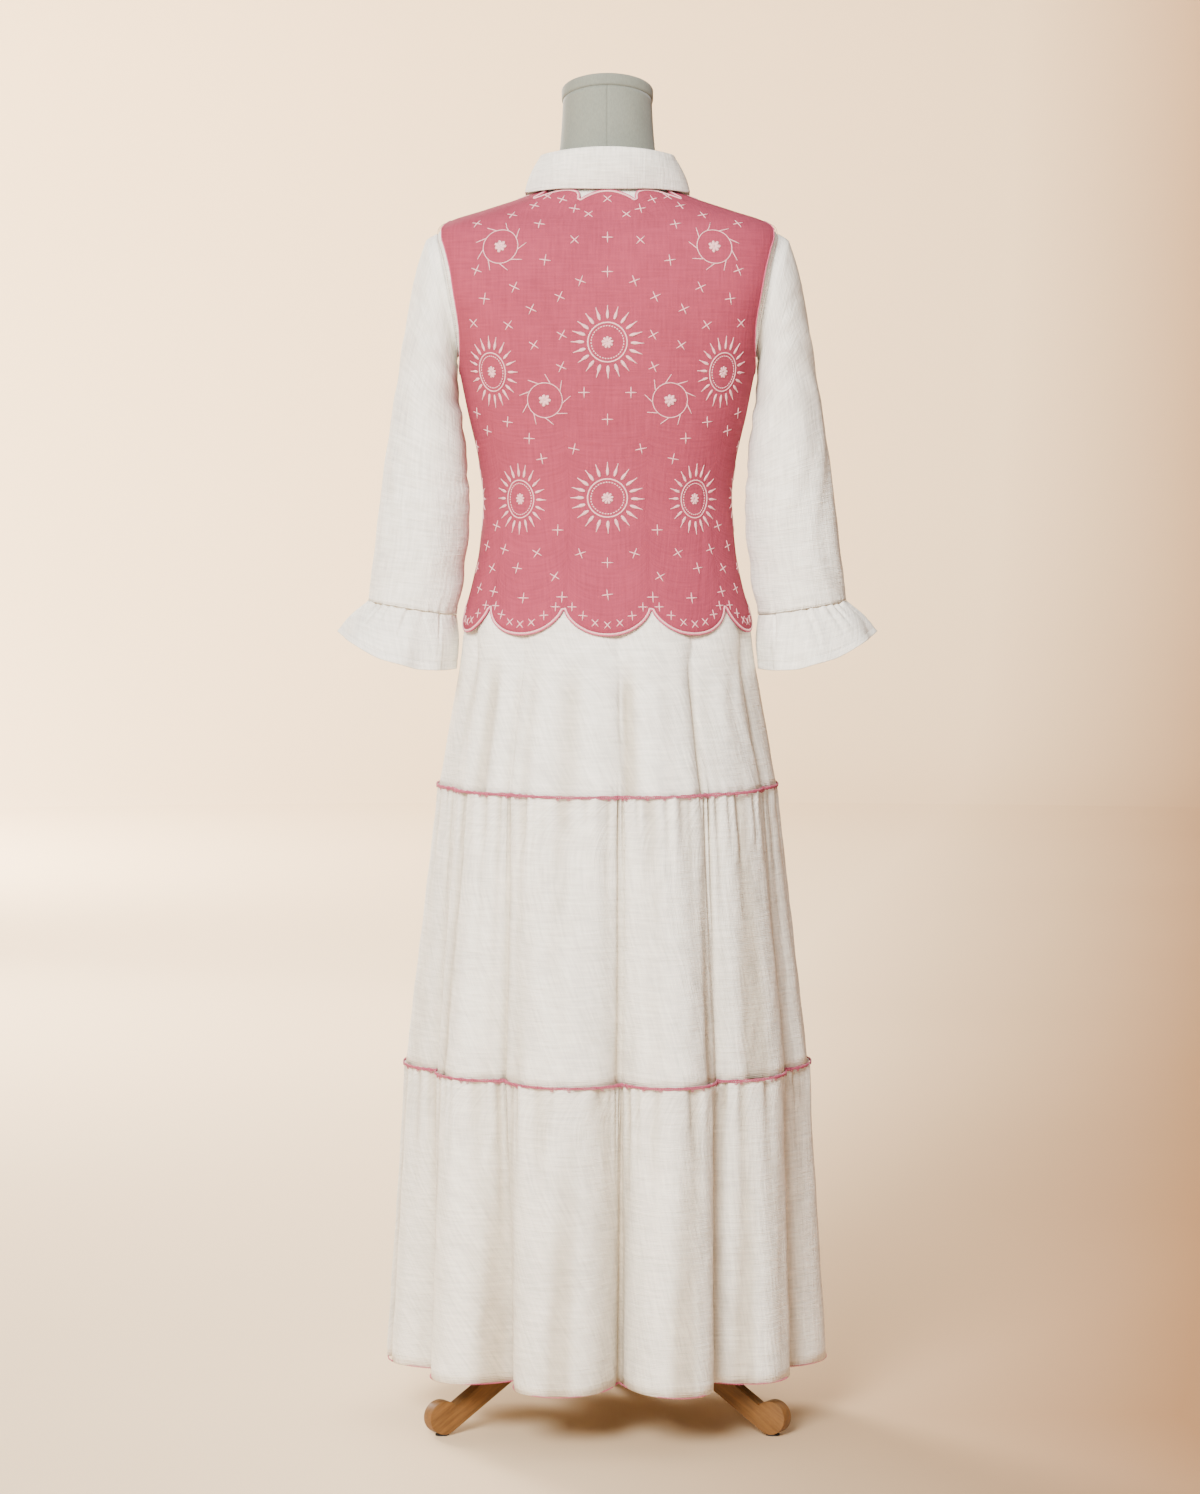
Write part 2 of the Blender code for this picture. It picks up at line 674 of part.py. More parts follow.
def make_collar(white, collection):
    side = (15.0, 30.0, 45.0, 60.0, 72.0, 82.0, 90.0, 98.0, 108.0, 120.0, 136.0, COLLAR_POINT_TURN)
    turns = [-turn for turn in reversed(side)] + [0.0] + list(side)
    base = []
    fold = []
    for turn in turns:
        around = fold_turn(turn) * STAND_END_TURN / COLLAR_END_TURN
        point = on_figure(around, neckline_height(around), BODICE_LIFT)
        base.append(point + Vector((0.0, 0.0, 0.0008)))
        fold.append(fold_point(around, -0.0003, -0.0003))
    cloth("collar_stand", [base, fold], CLOTH, white, collection)
    middle = []
    for turn in turns:
        point = fold_point(fold_turn(turn), 0.0042, -0.0040).lerp(collar_edge(turn), 0.5)
        outwards = Vector((point.x, point.y - FOLD_MIDDLE, 0.0)).normalized()
        middle.append(point + outwards * 0.0030)
    fall = [[collar_edge(turn) for turn in turns], middle]
    for outwards, rise in ((0.0036, -0.0030), (0.0012, 0.0008)):
        fall.append([fold_point(fold_turn(turn), outwards, rise) for turn in turns])
    cloth("collar_fall", fall, CLOTH, white, collection)


def ring_points(ring, steps, wave=None, drop=0.0):
    """Points of a sleeve section from its outer side, by the back, to its body side and round."""
    middle = Vector(((ring.outer_x + ring.inner_x) / 2, 0.0, (ring.outer_z + ring.inner_z) / 2))
    reach = Vector(((ring.outer_x - ring.inner_x) / 2, 0.0, (ring.outer_z - ring.inner_z) / 2))
    points = []
    for i in range(steps):
        angle = 2 * math.pi * i / steps
        out = 1.0 + (wave(i) if wave else 0.0) / ring.half_depth * (1.0 if math.cos(angle) > -0.75 else 0.0)
        point = middle + reach * math.cos(angle) * out
        point.y = ring.half_depth * math.sin(angle) * out
        point.z -= drop * math.sin(angle) ** 2
        points.append(point)
    return points


def armscye_points(steps):
    """The sleeve's first ring, inside the bodice's armhole and a little proud of it."""
    middle = (ARMHOLE_TOP + ARMHOLE_BOTTOM) / 2
    half = (ARMHOLE_TOP - ARMHOLE_BOTTOM) / 2 - 0.0008
    points = []
    for i in range(steps):
        angle = 2 * math.pi * i / steps
        height = middle + half * math.cos(angle)
        depth = (ARMHOLE_HALF_DEPTH - 0.0008) * math.sin(angle)
        points.append(Vector((figure_half_width_at(depth, height) + BODICE_LIFT + SLEEVE_STAND_OFF, depth, height)))
    return points


def make_sleeves(white, collection):
    """Right sleeve and ruffle, and their mirror images. Rings go from the cuff up."""
    rows = [ring_points(ring, SLEEVE_STEPS) for ring in reversed(SLEEVE)]
    rows.append(armscye_points(SLEEVE_STEPS))
    item = cloth("sleeve_right", rows, CLOTH, white, collection, closed=True)
    mirrored("sleeve_left", item, collection)
    steps = 2 * RUFFLE_GATHERS

    def gathers(strength):
        return lambda i: strength * (1.0 if i % 2 else -1.0)

    def waves(i):
        return 0.0045 * math.cos(2 * math.pi * RUFFLE_WAVES * i / steps)

    rows = [
        ring_points(RUFFLE[2], steps, waves, RUFFLE_DROP),
        ring_points(RUFFLE[1], steps, gathers(0.0013), RUFFLE_DROP / 2),
        ring_points(RUFFLE[0], steps, gathers(0.0010)),
    ]
    for row in rows[2:]:
        for point in row:
            point.z -= 0.0004
    item = cloth("ruffle_right", rows, CLOTH, white, collection, closed=True)
    mirrored("ruffle_left", item, collection)


def make_form(linen, collection):
    """Torso and neck as one smooth solid. The neck's top is cut on a slope, higher at the back."""
    steps = 24
    heights = [row.height for row in FIGURE]
    neck_start, neck_top = 1.5500, 1.6400
    shell = bmesh.new()
    rings = []
    for height in heights:
        ring = []
        slope = CAP_TILT * smoothstep((height - neck_start) / (neck_top - neck_start))
        for i in range(steps):
            point = figure_on_level(360.0 * i / steps, height, form=True)
            middle = between(FIGURE, "middle", height)
            point.z -= slope * (point.y - middle) + 0.0130 * slope / CAP_TILT
            ring.append(shell.verts.new(point))
        rings.append(ring)
    for low, high in zip(rings, rings[1:]):
        for i in range(steps):
            j = (i + 1) % steps
            shell.faces.new((low[i], low[j], high[j], high[i]))
    shell.faces.new(list(reversed(rings[0])))
    shell.faces.new(rings[-1])
    mesh = bpy.data.meshes.new("form_torso")
    shell.to_mesh(mesh)
    shell.free()
    mesh.shade_smooth()
    mesh.set_sharp_from_angle(angle=math.radians(40.0))
    add_object("form_torso", mesh, linen, collection)

    cap = bmesh.new()
    rings = []
    for lift, grow in ((SEAM_GAP, CAP_OVERHANG), (CAP_HEIGHT - 0.002, CAP_OVERHANG), (CAP_HEIGHT, 0.0)):
        ring = []
        for i in range(steps):
            x, y = outline_point(
                360.0 * i / steps,
                between(FIGURE, "half_width", neck_top) + grow,
                between(FIGURE, "back", neck_top) + grow,
                between(FIGURE, "front", neck_top) + grow,
                between(FIGURE, "middle", neck_top),
                2.0,
            )
            level = neck_top - 0.0130 - CAP_TILT * (y - between(FIGURE, "middle", neck_top))
            ring.append(cap.verts.new((x, y, level + lift)))
        rings.append(ring)
    for low, high in zip(rings, rings[1:]):
        for i in range(steps):
            j = (i + 1) % steps
            cap.faces.new((low[i], low[j], high[j], high[i]))
    cap.faces.new(list(reversed(rings[0])))
    cap.faces.new(rings[-1])
    mesh = bpy.data.meshes.new("form_neck_cap")
    cap.to_mesh(mesh)
    cap.free()
    mesh.shade_smooth()
    mesh.set_sharp_from_angle(angle=math.radians(40.0))
    add_object("form_neck_cap", mesh, linen, collection)


def leg_outline():
    """Outline of a leg board, distance from the pole and height: a round foot and a rising arm."""
    slope = math.radians(LEG_SLOPE)
    foot = Vector((FOOT_DISTANCE, PAD_HEIGHT + SEAM_GAP + FOOT_RADIUS))
    inner = HUB_RADIUS + SEAM_GAP
    over = LEG_WIDTH - FOOT_RADIUS
    start = -math.pi / 2 - slope
    end = math.pi - slope - math.asin(over / FOOT_RADIUS)
    steps = 16
    points = []
    for i in range(steps + 1):
        angle = start + (end - start) * i / steps
        points.append(foot + Vector((math.cos(angle), math.sin(angle))) * FOOT_RADIUS)
    for offset in (over, -FOOT_RADIUS):
        height = foot.y + (foot.x - inner) * math.tan(slope) + offset / math.cos(slope)
        points.append(Vector((inner, height)))
    return points


def make_stand(wood, rubber, collection):
    profile = (
        (0.0, 0.2350),
        (0.0170, 0.2350),
        (0.0220, 0.2290),
        (HUB_RADIUS, 0.2150),
        (HUB_RADIUS, 0.1080),
        (0.0220, 0.0960),
        (0.0, 0.0960),
    )
    turned("stand_hub", profile, 20, wood, collection)
    mesh = bpy.data.meshes.new("stand_pole")
    pole = bmesh.new()
    length = FORM_BASE_HEIGHT - SEAM_GAP - 0.2350 - SEAM_GAP
    bmesh.ops.create_cone(pole, cap_ends=True, segments=16, radius1=POLE_RADIUS, radius2=POLE_RADIUS, depth=length)
    pole.to_mesh(mesh)
    pole.free()
    mesh.shade_smooth()
    mesh.set_sharp_from_angle(angle=math.radians(40.0))
    item = add_object("stand_pole", mesh, wood, collection)
    item.location = (0.0, 0.0, 0.2350 + SEAM_GAP + length / 2)
    for name, turn in zip(("left", "right", "front"), LEG_TURNS):
        curve = bpy.data.curves.new(f"stand_leg_{name}", "CURVE")
        curve.dimensions = "2D"
        curve.fill_mode = "BOTH"
        curve.extrude = LEG_BOARD / 2
        outline = leg_outline()
        spline = curve.splines.new("POLY")
        spline.points.add(len(outline) - 1)
        for point, place in zip(spline.points, outline):
            point.co = (place.x, place.y, 0.0, 1.0)
        spline.use_cyclic_u = True
        leg = bpy.data.objects.new(f"stand_leg_{name}", curve)
        curve.materials.append(wood)
        collection.objects.link(leg)
        leg.rotation_euler = (math.pi / 2, 0.0, math.radians(turn - 90.0))
        mesh = bpy.data.meshes.new(f"foot_pad_{name}")
        disc = bmesh.new()
        bmesh.ops.create_cone(
            disc, cap_ends=True, segments=16, radius1=PAD_RADIUS, radius2=PAD_RADIUS, depth=PAD_HEIGHT
        )
        disc.to_mesh(mesh)
        disc.free()
        pad = add_object(f"foot_pad_{name}", mesh, rubber, collection)
        angle = math.radians(turn)
        pad.location = (FOOT_DISTANCE * math.sin(angle), -FOOT_DISTANCE * math.cos(angle), PAD_HEIGHT / 2)


def main():
    clear_scene()
    collection = new_collection("tiered_dress")
    white = finish("slub_cotton", 0.80, 0.79, 0.72, 0.9)
    rose = finish("rose_twill", 0.60, 0.17, 0.22, 0.85)
    braid = finish("rose_braid", 0.62, 0.22, 0.28, 0.8)
    linen = finish("grey_form_linen", 0.36, 0.37, 0.33, 0.85)
    wood = finish("stained_beech", 0.36, 0.20, 0.07, 0.45)
    rubber = finish("black_rubber", 0.02, 0.02, 0.02, 0.8)
    pearl = finish("plain_button", 0.75, 0.55, 0.55, 0.4)
    make_form(linen, collection)
    make_stand(wood, rubber, collection)
    make_bodice(white, pearl, collection)
    make_sleeves(white, collection)
    make_collar(white, collection)
    make_skirt(white, braid, collection)
    make_vest(rose, pearl, collection)


main()
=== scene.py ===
"""Looks of a tiered maxi dress with an embroidered vest, worn by a limbless dress form on a tripod.

Metres, +Z up, origin on the floor under the form's pole. The back faces -Y, the front +Y and the
wearer's right side +X. A turn is an angle round the figure in degrees: 0 is the centre back, 90 the
right side, 180 the centre front and -90 the left side.
"""

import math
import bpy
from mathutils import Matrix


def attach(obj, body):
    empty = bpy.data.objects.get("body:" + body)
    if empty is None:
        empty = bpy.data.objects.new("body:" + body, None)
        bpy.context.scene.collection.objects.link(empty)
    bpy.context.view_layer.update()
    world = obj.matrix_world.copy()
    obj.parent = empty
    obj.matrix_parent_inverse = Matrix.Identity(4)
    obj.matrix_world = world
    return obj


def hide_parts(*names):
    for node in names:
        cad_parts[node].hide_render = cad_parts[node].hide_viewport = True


bl_info = {
    "name": "Tiered Dress With Embroidered Vest",
    "version": (1, 0, 0),
    "blender": (4, 5, 0),
    "location": "3D View > Sidebar > Tiered Dress",
    "description": "Builds a tiered cotton dress and an embroidered vest on a dress form",
    "category": "Object",
}

import bpy
import numpy as np
from mathutils import Matrix, Vector

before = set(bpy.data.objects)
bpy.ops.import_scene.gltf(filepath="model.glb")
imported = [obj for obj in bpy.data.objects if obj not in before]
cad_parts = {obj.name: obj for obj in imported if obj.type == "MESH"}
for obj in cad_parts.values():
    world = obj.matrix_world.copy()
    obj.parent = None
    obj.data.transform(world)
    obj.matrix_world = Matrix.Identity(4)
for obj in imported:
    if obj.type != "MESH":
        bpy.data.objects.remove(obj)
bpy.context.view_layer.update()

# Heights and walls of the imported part
HEM_HEIGHT = 0.0746
LOWER_SEAM_HEIGHT = 0.4450
UPPER_SEAM_HEIGHT = 0.7900
WAIST_HEIGHT = 1.1400
VEST_HEM_HEIGHT = 0.9790
FORM_BASE_HEIGHT = 0.8800
CLOTH = 0.0012
VEST_CLOTH = 0.0016
SEAM_GAP = 0.0003
BODICE_LIFT = 0.0015
VEST_LIFT = 0.0050
COLLAR_LIFT = 0.0085

# Columns: height, half width, back, front, middle, power, form inset, vest ease
FIGURE = np.array([
    (0.8800, 0.1720, 0.1200, 0.1120, 0.000, 2.2, 0.0050, 0.0090),
    (0.9820, 0.1680, 0.1200, 0.1100, 0.000, 2.2, 0.0050, 0.0065),
    (1.0330, 0.1580, 0.1100, 0.1060, 0.000, 2.2, 0.0050, 0.0040),
    (1.0800, 0.1500, 0.0990, 0.1010, 0.000, 2.2, 0.0050, 0.0025),
    (1.1400, 0.1460, 0.0930, 0.1000, 0.000, 2.2, 0.0050, 0.0015),
    (1.1900, 0.1520, 0.0960, 0.1040, 0.000, 2.3, 0.0050, 0.0013),
    (1.2450, 0.1645, 0.1010, 0.1180, 0.000, 2.5, 0.0060, 0.0010),
    (1.2950, 0.1748, 0.1050, 0.1270, 0.000, 2.8, 0.0070, 0.0006),
    (1.3450, 0.1870, 0.1060, 0.1200, 0.000, 3.2, 0.0090, 0.0004),
    (1.3900, 0.1990, 0.1040, 0.1040, 0.000, 3.4, 0.0130, 0.0006),
    (1.4300, 0.2065, 0.0960, 0.0880, 0.000, 3.2, 0.0170, 0.0006),
    (1.4560, 0.2085, 0.0860, 0.0740, 0.000, 2.9, 0.0170, 0.0008),
    (1.4665, 0.2050, 0.0795, 0.0665, 0.000, 2.7, 0.0110, 0.0012),
    (1.4768, 0.1890, 0.0730, 0.0590, 0.001, 2.5, 0.0030, 0.0006),
    (1.4900, 0.1500, 0.0640, 0.0510, 0.002, 2.3, 0.0012, 0.0000),
    (1.5065, 0.1000, 0.0570, 0.0470, 0.004, 2.1, 0.0010, 0.0000),
    (1.5170, 0.0755, 0.0545, 0.0470, 0.005, 2.0, 0.0010, 0.0000),
    (1.5300, 0.0645, 0.0535, 0.0500, 0.006, 2.0, 0.0000, 0.0000),
    (1.5500, 0.0605, 0.0530, 0.0520, 0.007, 2.0, 0.0000, 0.0000),
    (1.5900, 0.0570, 0.0520, 0.0520, 0.008, 2.0, 0.0000, 0.0000),
    (1.6400, 0.0545, 0.0510, 0.0510, 0.009, 2.0, 0.0000, 0.0000),
])
HALF_WIDTH, BACK, FRONT, MIDDLE, POWER, FORM_INSET, VEST_EASE = range(1, 8)
UPWARDS = np.array([0.0, 0.0, 1.0])

# Skirt folds from the centre of one side to the other, repeated after half a turn.
# Columns: width in degrees, crest at the seam and the hem, recess at the seam and the hem
FOLDS = np.array([
    (42.0, 0.2500, 0.2730, 0.2230, 0.2180),
    (32.0, 0.2400, 0.2590, 0.2080, 0.1870),
    (40.6, 0.2460, 0.2620, 0.2050, 0.1660),
    (31.9, 0.2560, 0.2740, 0.2180, 0.1980),
    (33.5, 0.2460, 0.2600, 0.2280, 0.2200),
])
SKIRT_SIDE = -89.0
CREST_SHARE = 0.115
FOLD_COUNT = 2 * len(FOLDS)

# First tier below the vest. Columns: height, half width, back, front, fold depth
FIRST_TIER = np.array([(0.7900, 0.2080, 0.2040, 0.2040, 0.0090), (0.9377, 0.1815, 0.1480, 0.1420, 0.0105)])
UNDER_VEST = np.array([(0.9820, 0.0085), (1.0330, 0.0058), (1.0800, 0.0040), (1.1400, 0.0020)])

# Sleeve and ruffle rings seen from the back, from the cuff up.
# Columns: outer x and z, body side x and z, half depth
SLEEVE = np.array([
    (0.2936, 1.0170, 0.1862, 0.9995, 0.0540),
    (0.2885, 1.0660, 0.1765, 1.0560, 0.0560),
    (0.2785, 1.1450, 0.1698, 1.1250, 0.0570),
    (0.2680, 1.2250, 0.1712, 1.1800, 0.0575),
    (0.2554, 1.3022, 0.1760, 1.2250, 0.0580),
    (0.2451, 1.3642, 0.1810, 1.2550, 0.0585),
    (0.2325, 1.4270, 0.1838, 1.2830, 0.0585),
    (0.2225, 1.4575, 0.1835, 1.3030, 0.0570),
])
RUFFLE = np.array([
    (0.3300, 0.9770, 0.1865, 0.9330, 0.0800),
    (0.3170, 0.9960, 0.1835, 0.9680, 0.0690),
    (0.2940, 1.0166, 0.1864, 0.9991, 0.0545),
])
SLEEVE_STAND_OFF = 0.0025
STITCH_ROW = 4
ARMHOLE = (1.3150, 1.4665, 0.0550)
VEST_ARMHOLE = (1.2950, 1.4768, 0.0705)
SCALLOP_TURN = 36.0

# Collar
FOLD_HALF_WIDTH = 0.0800
FOLD_HALF_DEPTH = 0.0655
FOLD_MIDDLE = 0.0060
COLLAR_END_TURN = 176.0
COLLAR_POINT_TURN = 152.0
COLLAR_POINT_DEPTH = 0.0830
STAND_END_TURN = 178.5

# Stand
LEG_TURNS = {"left": -60.0, "right": 60.0, "front": 180.0}
FOOT_DISTANCE = 0.2335
FOOT_RADIUS = 0.0205
PAD_TOP = 0.0020
LEG_WIDTH = 0.0240
LEG_BOARD = 0.0180
LEG_SLOPE = math.radians(33.0)
POLE_RADIUS = 0.0125
HUB_RADIUS = 0.0330
HUB_LENGTH = 0.1070
HUB_MIDDLE_HEIGHT = 0.1615
HUB_END_RADIUS = 0.0220
HUB_TOP = 0.2350

# Neck and cap of the form
NECK_TOP = 1.6400
CAP_THICKNESS = 0.0145
CAP_OVERHANG = 0.0016
CAP_TILT = 0.345
CAP_DROP = 0.0130

# Buttons
BUTTON_RADIUS = 0.0060
BUTTON_THICKNESS = 0.0022
SHIRT_BUTTON_RADIUS = 0.0050
HOLE_PLACE = 0.0013
HOLE_RADIUS = 0.0007
BUTTON_HEIGHTS = (1.060, 1.125, 1.190, 1.255, 1.320, 1.385)
SHIRT_BUTTON_HEIGHTS = (1.447, 1.474)

# Lengths of one wave of the braids and of the hem's stitches, and from loop to loop
BRAID_WAVE = 0.0052
HEM_WAVE = 0.0034
LOOP_SPACING = 0.0195

# Columns of points round each piece
FIRST_TIER_COLUMNS = 500
LOWER_TIER_COLUMNS = 620
BRAID_COLUMNS = 3600
HEM_COLUMNS = 2600
SLEEVE_COLUMNS = 120
RUFFLE_COLUMNS = 280

# Paper backdrop, lights and camera
PAPER_RADIUS = 9.0
COVE_RADIUS = 2.5
COVE_STEPS = 12
WALL_RISE = 3.5
# Each light: name, place, target, size, energy, spread in degrees and tint
LIGHTS = (
    ("key_left", (-1.5, -5.2, 3.4), (0.0, 0.0, 1.35), 2.4, 126.0, 60.0, "FFFDF9"),
    ("low_fill", (0.8, -6.4, 0.7), (0.0, 0.3, 0.1), 3.0, 90.0, 180.0, "FFF6EE"),
    ("floor_left", (-2.6, 4.4, 2.6), (-1.2, 1.8, 0.0), 1.6, 620.0, 180.0, "FFF4E6"),
    ("backdrop_left", (-3.6, 6.4, 1.9), (-1.6, 10.8, 0.9), 2.2, 1300.0, 180.0, "FFF4E6"),
)
CAMERA_PLACE = (-0.0091, -5.94, 1.2732)
CAMERA_PITCH = math.radians(4.214)


class DressSizes(bpy.types.PropertyGroup):
    """Sizes of gathers, threads and wrinkles, which can change without a new CAD model."""

    gather_depth: bpy.props.FloatProperty(
        name="Gather depth", description="How far the gathers under a seam stand in and out",
        default=0.0044, min=0.0, max=0.006, unit="LENGTH")
    ruffle_gather_depth: bpy.props.FloatProperty(
        name="Ruffle gather depth", description="How far the cuff's gathers stand in and out",
        default=0.0026, min=0.0, max=0.004, unit="LENGTH")
    crease_depth: bpy.props.FloatProperty(
        name="Crease depth", description="Height of the soft creases in sleeves and tiers",
        default=0.0016, min=0.0, max=0.004, unit="LENGTH")
    thread_width: bpy.props.FloatProperty(
        name="Thread width", description="Width of an embroidery stitch on the vest",
        default=0.0015, min=0.0005, max=0.003, unit="LENGTH")
    cross_length: bpy.props.FloatProperty(
        name="Cross length", description="Length of one stitch of an embroidered cross",
        default=0.0138, min=0.004, max=0.02, unit="LENGTH")
    braid_height: bpy.props.FloatProperty(
        name="Braid height", description="Height of the zigzag braid over the tiers' seams",
        default=0.0060, min=0.002, max=0.008, unit="LENGTH")


def linear(hex_colour):
    """A hex sRGB colour as three linear values."""
    values = [int(hex_colour[i:i + 2], 16) / 255.0 for i in (0, 2, 4)]
    return tuple(v / 12.92 if v <= 0.04045 else ((v + 0.055) / 1.055) ** 2.4 for v in values)


class DressColours(bpy.types.PropertyGroup):
    """Colours of the cloth, threads, form and stand."""

    cotton: bpy.props.FloatVectorProperty(
        name="Cotton", description="Slubby linen and cotton cloth of the dress",
        default=linear("EFEBE1"), size=3, min=0.0, max=1.0, subtype="COLOR")
    rose: bpy.props.FloatVectorProperty(
        name="Rose cloth", description="Dusty pink cotton twill of the vest",
        default=linear("923A4C"), size=3, min=0.0, max=1.0, subtype="COLOR")
    thread: bpy.props.FloatVectorProperty(
        name="Pale thread", description="Stranded cotton of the vest's embroidery",
        default=linear("E2A9AC"), size=3, min=0.0, max=1.0, subtype="COLOR")
    braid: bpy.props.FloatVectorProperty(
        name="Braid thread", description="Thread of the braids and of the edge stitches",
        default=linear("B0506A"), size=3, min=0.0, max=1.0, subtype="COLOR")
    linen: bpy.props.FloatVectorProperty(
        name="Form cover", description="Grey linen jersey over the dress form",
        default=linear("767A70"), size=3, min=0.0, max=1.0, subtype="COLOR")
    beech: bpy.props.FloatVectorProperty(
        name="Beech", description="Stained and varnished beech of the stand",
        default=linear("74502A"), size=3, min=0.0, max=1.0, subtype="COLOR")
    backdrop: bpy.props.FloatVectorProperty(
        name="Backdrop", description="Cream paper of the floor and backdrop",
        default=linear("F0D8B4"), size=3, min=0.0, max=1.0, subtype="COLOR")


def smooth(share):
    share = np.clip(share, 0.0, 1.0)
    return share * share * (3.0 - 2.0 * share)


def through(rows, column, at):
    """A column's value at each height, on a monotone cubic through the rows."""
    places, values = rows[:, 0], rows[:, column]
    at = np.clip(at, places[0], places[-1])
    i = np.clip(np.searchsorted(places, at, side="right") - 1, 0, len(places) - 2)
    spans = np.diff(places)
    slopes = np.diff(values) / spans
    before, after = slopes[:-1], slopes[1:]
    same_way = before * after > 0.0
    tangents = np.concatenate([slopes[:1], np.zeros(len(before)), slopes[-1:]])
    tangents[1:-1][same_way] = (2.0 * before * after)[same_way] / (before + after)[same_way]
    share = (at - places[i]) / spans[i]
    square, cube = share**2, share**3
    return (
        (2 * cube - 3 * square + 1) * values[i]
        + (cube - 2 * square + share) * spans[i] * tangents[i]
        + (3 * square - 2 * cube) * values[i + 1]
        + (cube - square) * spans[i] * tangents[i + 1]
    )


def outline(turn, half_width, back, front, middle, power):
    """Points of rounded sections at turns round the figure, as x and y."""
    angle = np.radians(turn)
    across, along = np.sin(angle), -np.cos(angle)
    depth = np.where(along < 0.0, back, front)
    reach = (np.abs(across) ** power + np.abs(along) ** power) ** (-1.0 / power)
    return half_width * across * reach, middle + depth * along * reach


def figure_point(turn, height, form=False):
    turn, height = np.broadcast_arrays(np.asarray(turn, float), np.asarray(height, float))
    inset = through(FIGURE, FORM_INSET, height) if form else 0.0
    x, y = outline(
        turn,
        through(FIGURE, HALF_WIDTH, height) - inset,
        through(FIGURE, BACK, height) - np.minimum(inset, 0.006),
        through(FIGURE, FRONT, height) - np.minimum(inset, 0.006),
        through(FIGURE, MIDDLE, height),
        through(FIGURE, POWER, height),
    )
    return np.stack([x, y, height], axis=-1)


def unit(vectors):
    return vectors / np.maximum(np.linalg.norm(vectors, axis=-1, keepdims=True), 1e-12)


def figure_normal(turn, height):
    round_it = figure_point(turn + 0.5, height) - figure_point(turn - 0.5, height)
    up_it = figure_point(turn, height + 0.0005) - figure_point(turn, height - 0.0005)
    return unit(np.cross(round_it, up_it))


def on_figure(turn, height, lift):
    """Points at turns and heights of the figure, lifted straight off its surface."""
    turn, height = np.broadcast_arrays(np.asarray(turn, float), np.asarray(height, float))
    lift = np.broadcast_to(np.asarray(lift, float), turn.shape)
    return figure_point(turn, height) + figure_normal(turn, height) * lift[..., None]


def half_width_at(depth, height):
    """How far from the middle plane the figure's side is, at depths and heights."""
    middle = through(FIGURE, MIDDLE, height)
    reach = np.where(depth < middle, through(FIGURE, BACK, height), through(FIGURE, FRONT, height))
    power = through(FIGURE, POWER, height)
    share = np.minimum(0.999, np.abs(depth - middle) / reach)
    return through(FIGURE, HALF_WIDTH, height) * (1.0 - share**power) ** (1.0 / power)


def armhole_turn(height, armhole):
    """Turns between the side and an armhole's edge. They are 0 outside the armhole."""
    bottom, top, half_depth = armhole
    share = np.clip((height - (bottom + top) / 2) / ((top - bottom) / 2), -1.0, 1.0)
    depth = half_depth * np.sqrt(1.0 - share**2)
    low, high = np.zeros_like(height), np.full_like(height, 90.0)
    for _ in range(30):
        half = (low + high) / 2
        inside = np.abs(figure_point(90.0 - half, height)[..., 1] - through(FIGURE, MIDDLE, height)) < depth
        low, high = np.where(inside, half, low), np.where(inside, high, half)
    return np.where((height > bottom) & (height < top), low, 0.0)


def ripple(along, *waves):
    """Uneven ripple of about -1 to 1 from lengths of wave in metres, the same on each run."""
    total = np.zeros_like(np.asarray(along, float))
    for i, wave in enumerate(waves):
        lap = 2 * np.pi * along
        bend = 1.7 * np.sin(lap / (wave * 5.3) + 2.1 * i) + 0.8 * np.sin(lap / (wave * 2.7) + i)
        total = total + np.sin(lap / wave + bend + 1.3 * i)
    return total / len(waves)


def lengths_along(grid, axis):
    """Distance along the rows or columns of a grid of points, from its first point."""
    steps = np.linalg.norm(np.diff(grid, axis=axis), axis=-1)
    start = np.zeros_like(np.take(steps, [0], axis=axis))
    return np.cumsum(np.concatenate([start, steps], axis=axis), axis=axis)


def run_along(path):
    """Distance along a line of points, from its first point."""
    return lengths_along(path[:, None], 0)[:, 0]


def closed_line(values):
    """The values of a ring's points, with the first one again at the end."""
    return np.concatenate([values, values[:1]])


def grid_normals(grid, closed=False):
    """Outward normals of a grid whose rows go anticlockwise from the lowest row up."""
    if closed:
        across = np.roll(grid, -1, axis=1) - np.roll(grid, 1, axis=1)
    else:
        across = np.gradient(grid, axis=1)
    return unit(np.cross(across, np.gradient(grid, axis=0)))


def sheet_object(name, grid, material, closed=False):
    """Open surface through a grid of points, with a UV map in metres along the cloth."""
    rows, count = grid.shape[:2]
    ring = np.concatenate([grid, grid[:, :1]], axis=1) if closed else grid
    along = lengths_along(ring, 1)
    along = along - along[:, -1:] / 2
    up = np.broadcast_to(lengths_along(ring, 0).mean(axis=1, keepdims=True), along.shape)
    i, j = np.meshgrid(np.arange(rows - 1), np.arange(ring.shape[1] - 1), indexing="ij")
    corners = ((i, j), (i, j + 1), (i + 1, j + 1), (i + 1, j))
    faces = np.stack([a * count + b % count for a, b in corners], axis=-1).reshape(-1, 4)
    uv = np.stack([np.stack([along[a, b], up[a, b]], axis=-1) for a, b in corners], axis=2)
    mesh = bpy.data.meshes.new(name)
    mesh.from_pydata(grid.reshape(-1, 3).tolist(), [], faces.tolist())
    mesh.uv_layers.new(name="cloth").data.foreach_set("uv", uv.ravel())
    mesh.shade_smooth()
    mesh.materials.append(material)
    made = bpy.data.objects.new(name, mesh)
    bpy.context.scene.collection.objects.link(made)
    return made


def select_only(made):
    bpy.ops.object.select_all(action="DESELECT")
    made.select_set(True)
    bpy.context.view_layer.objects.active = made


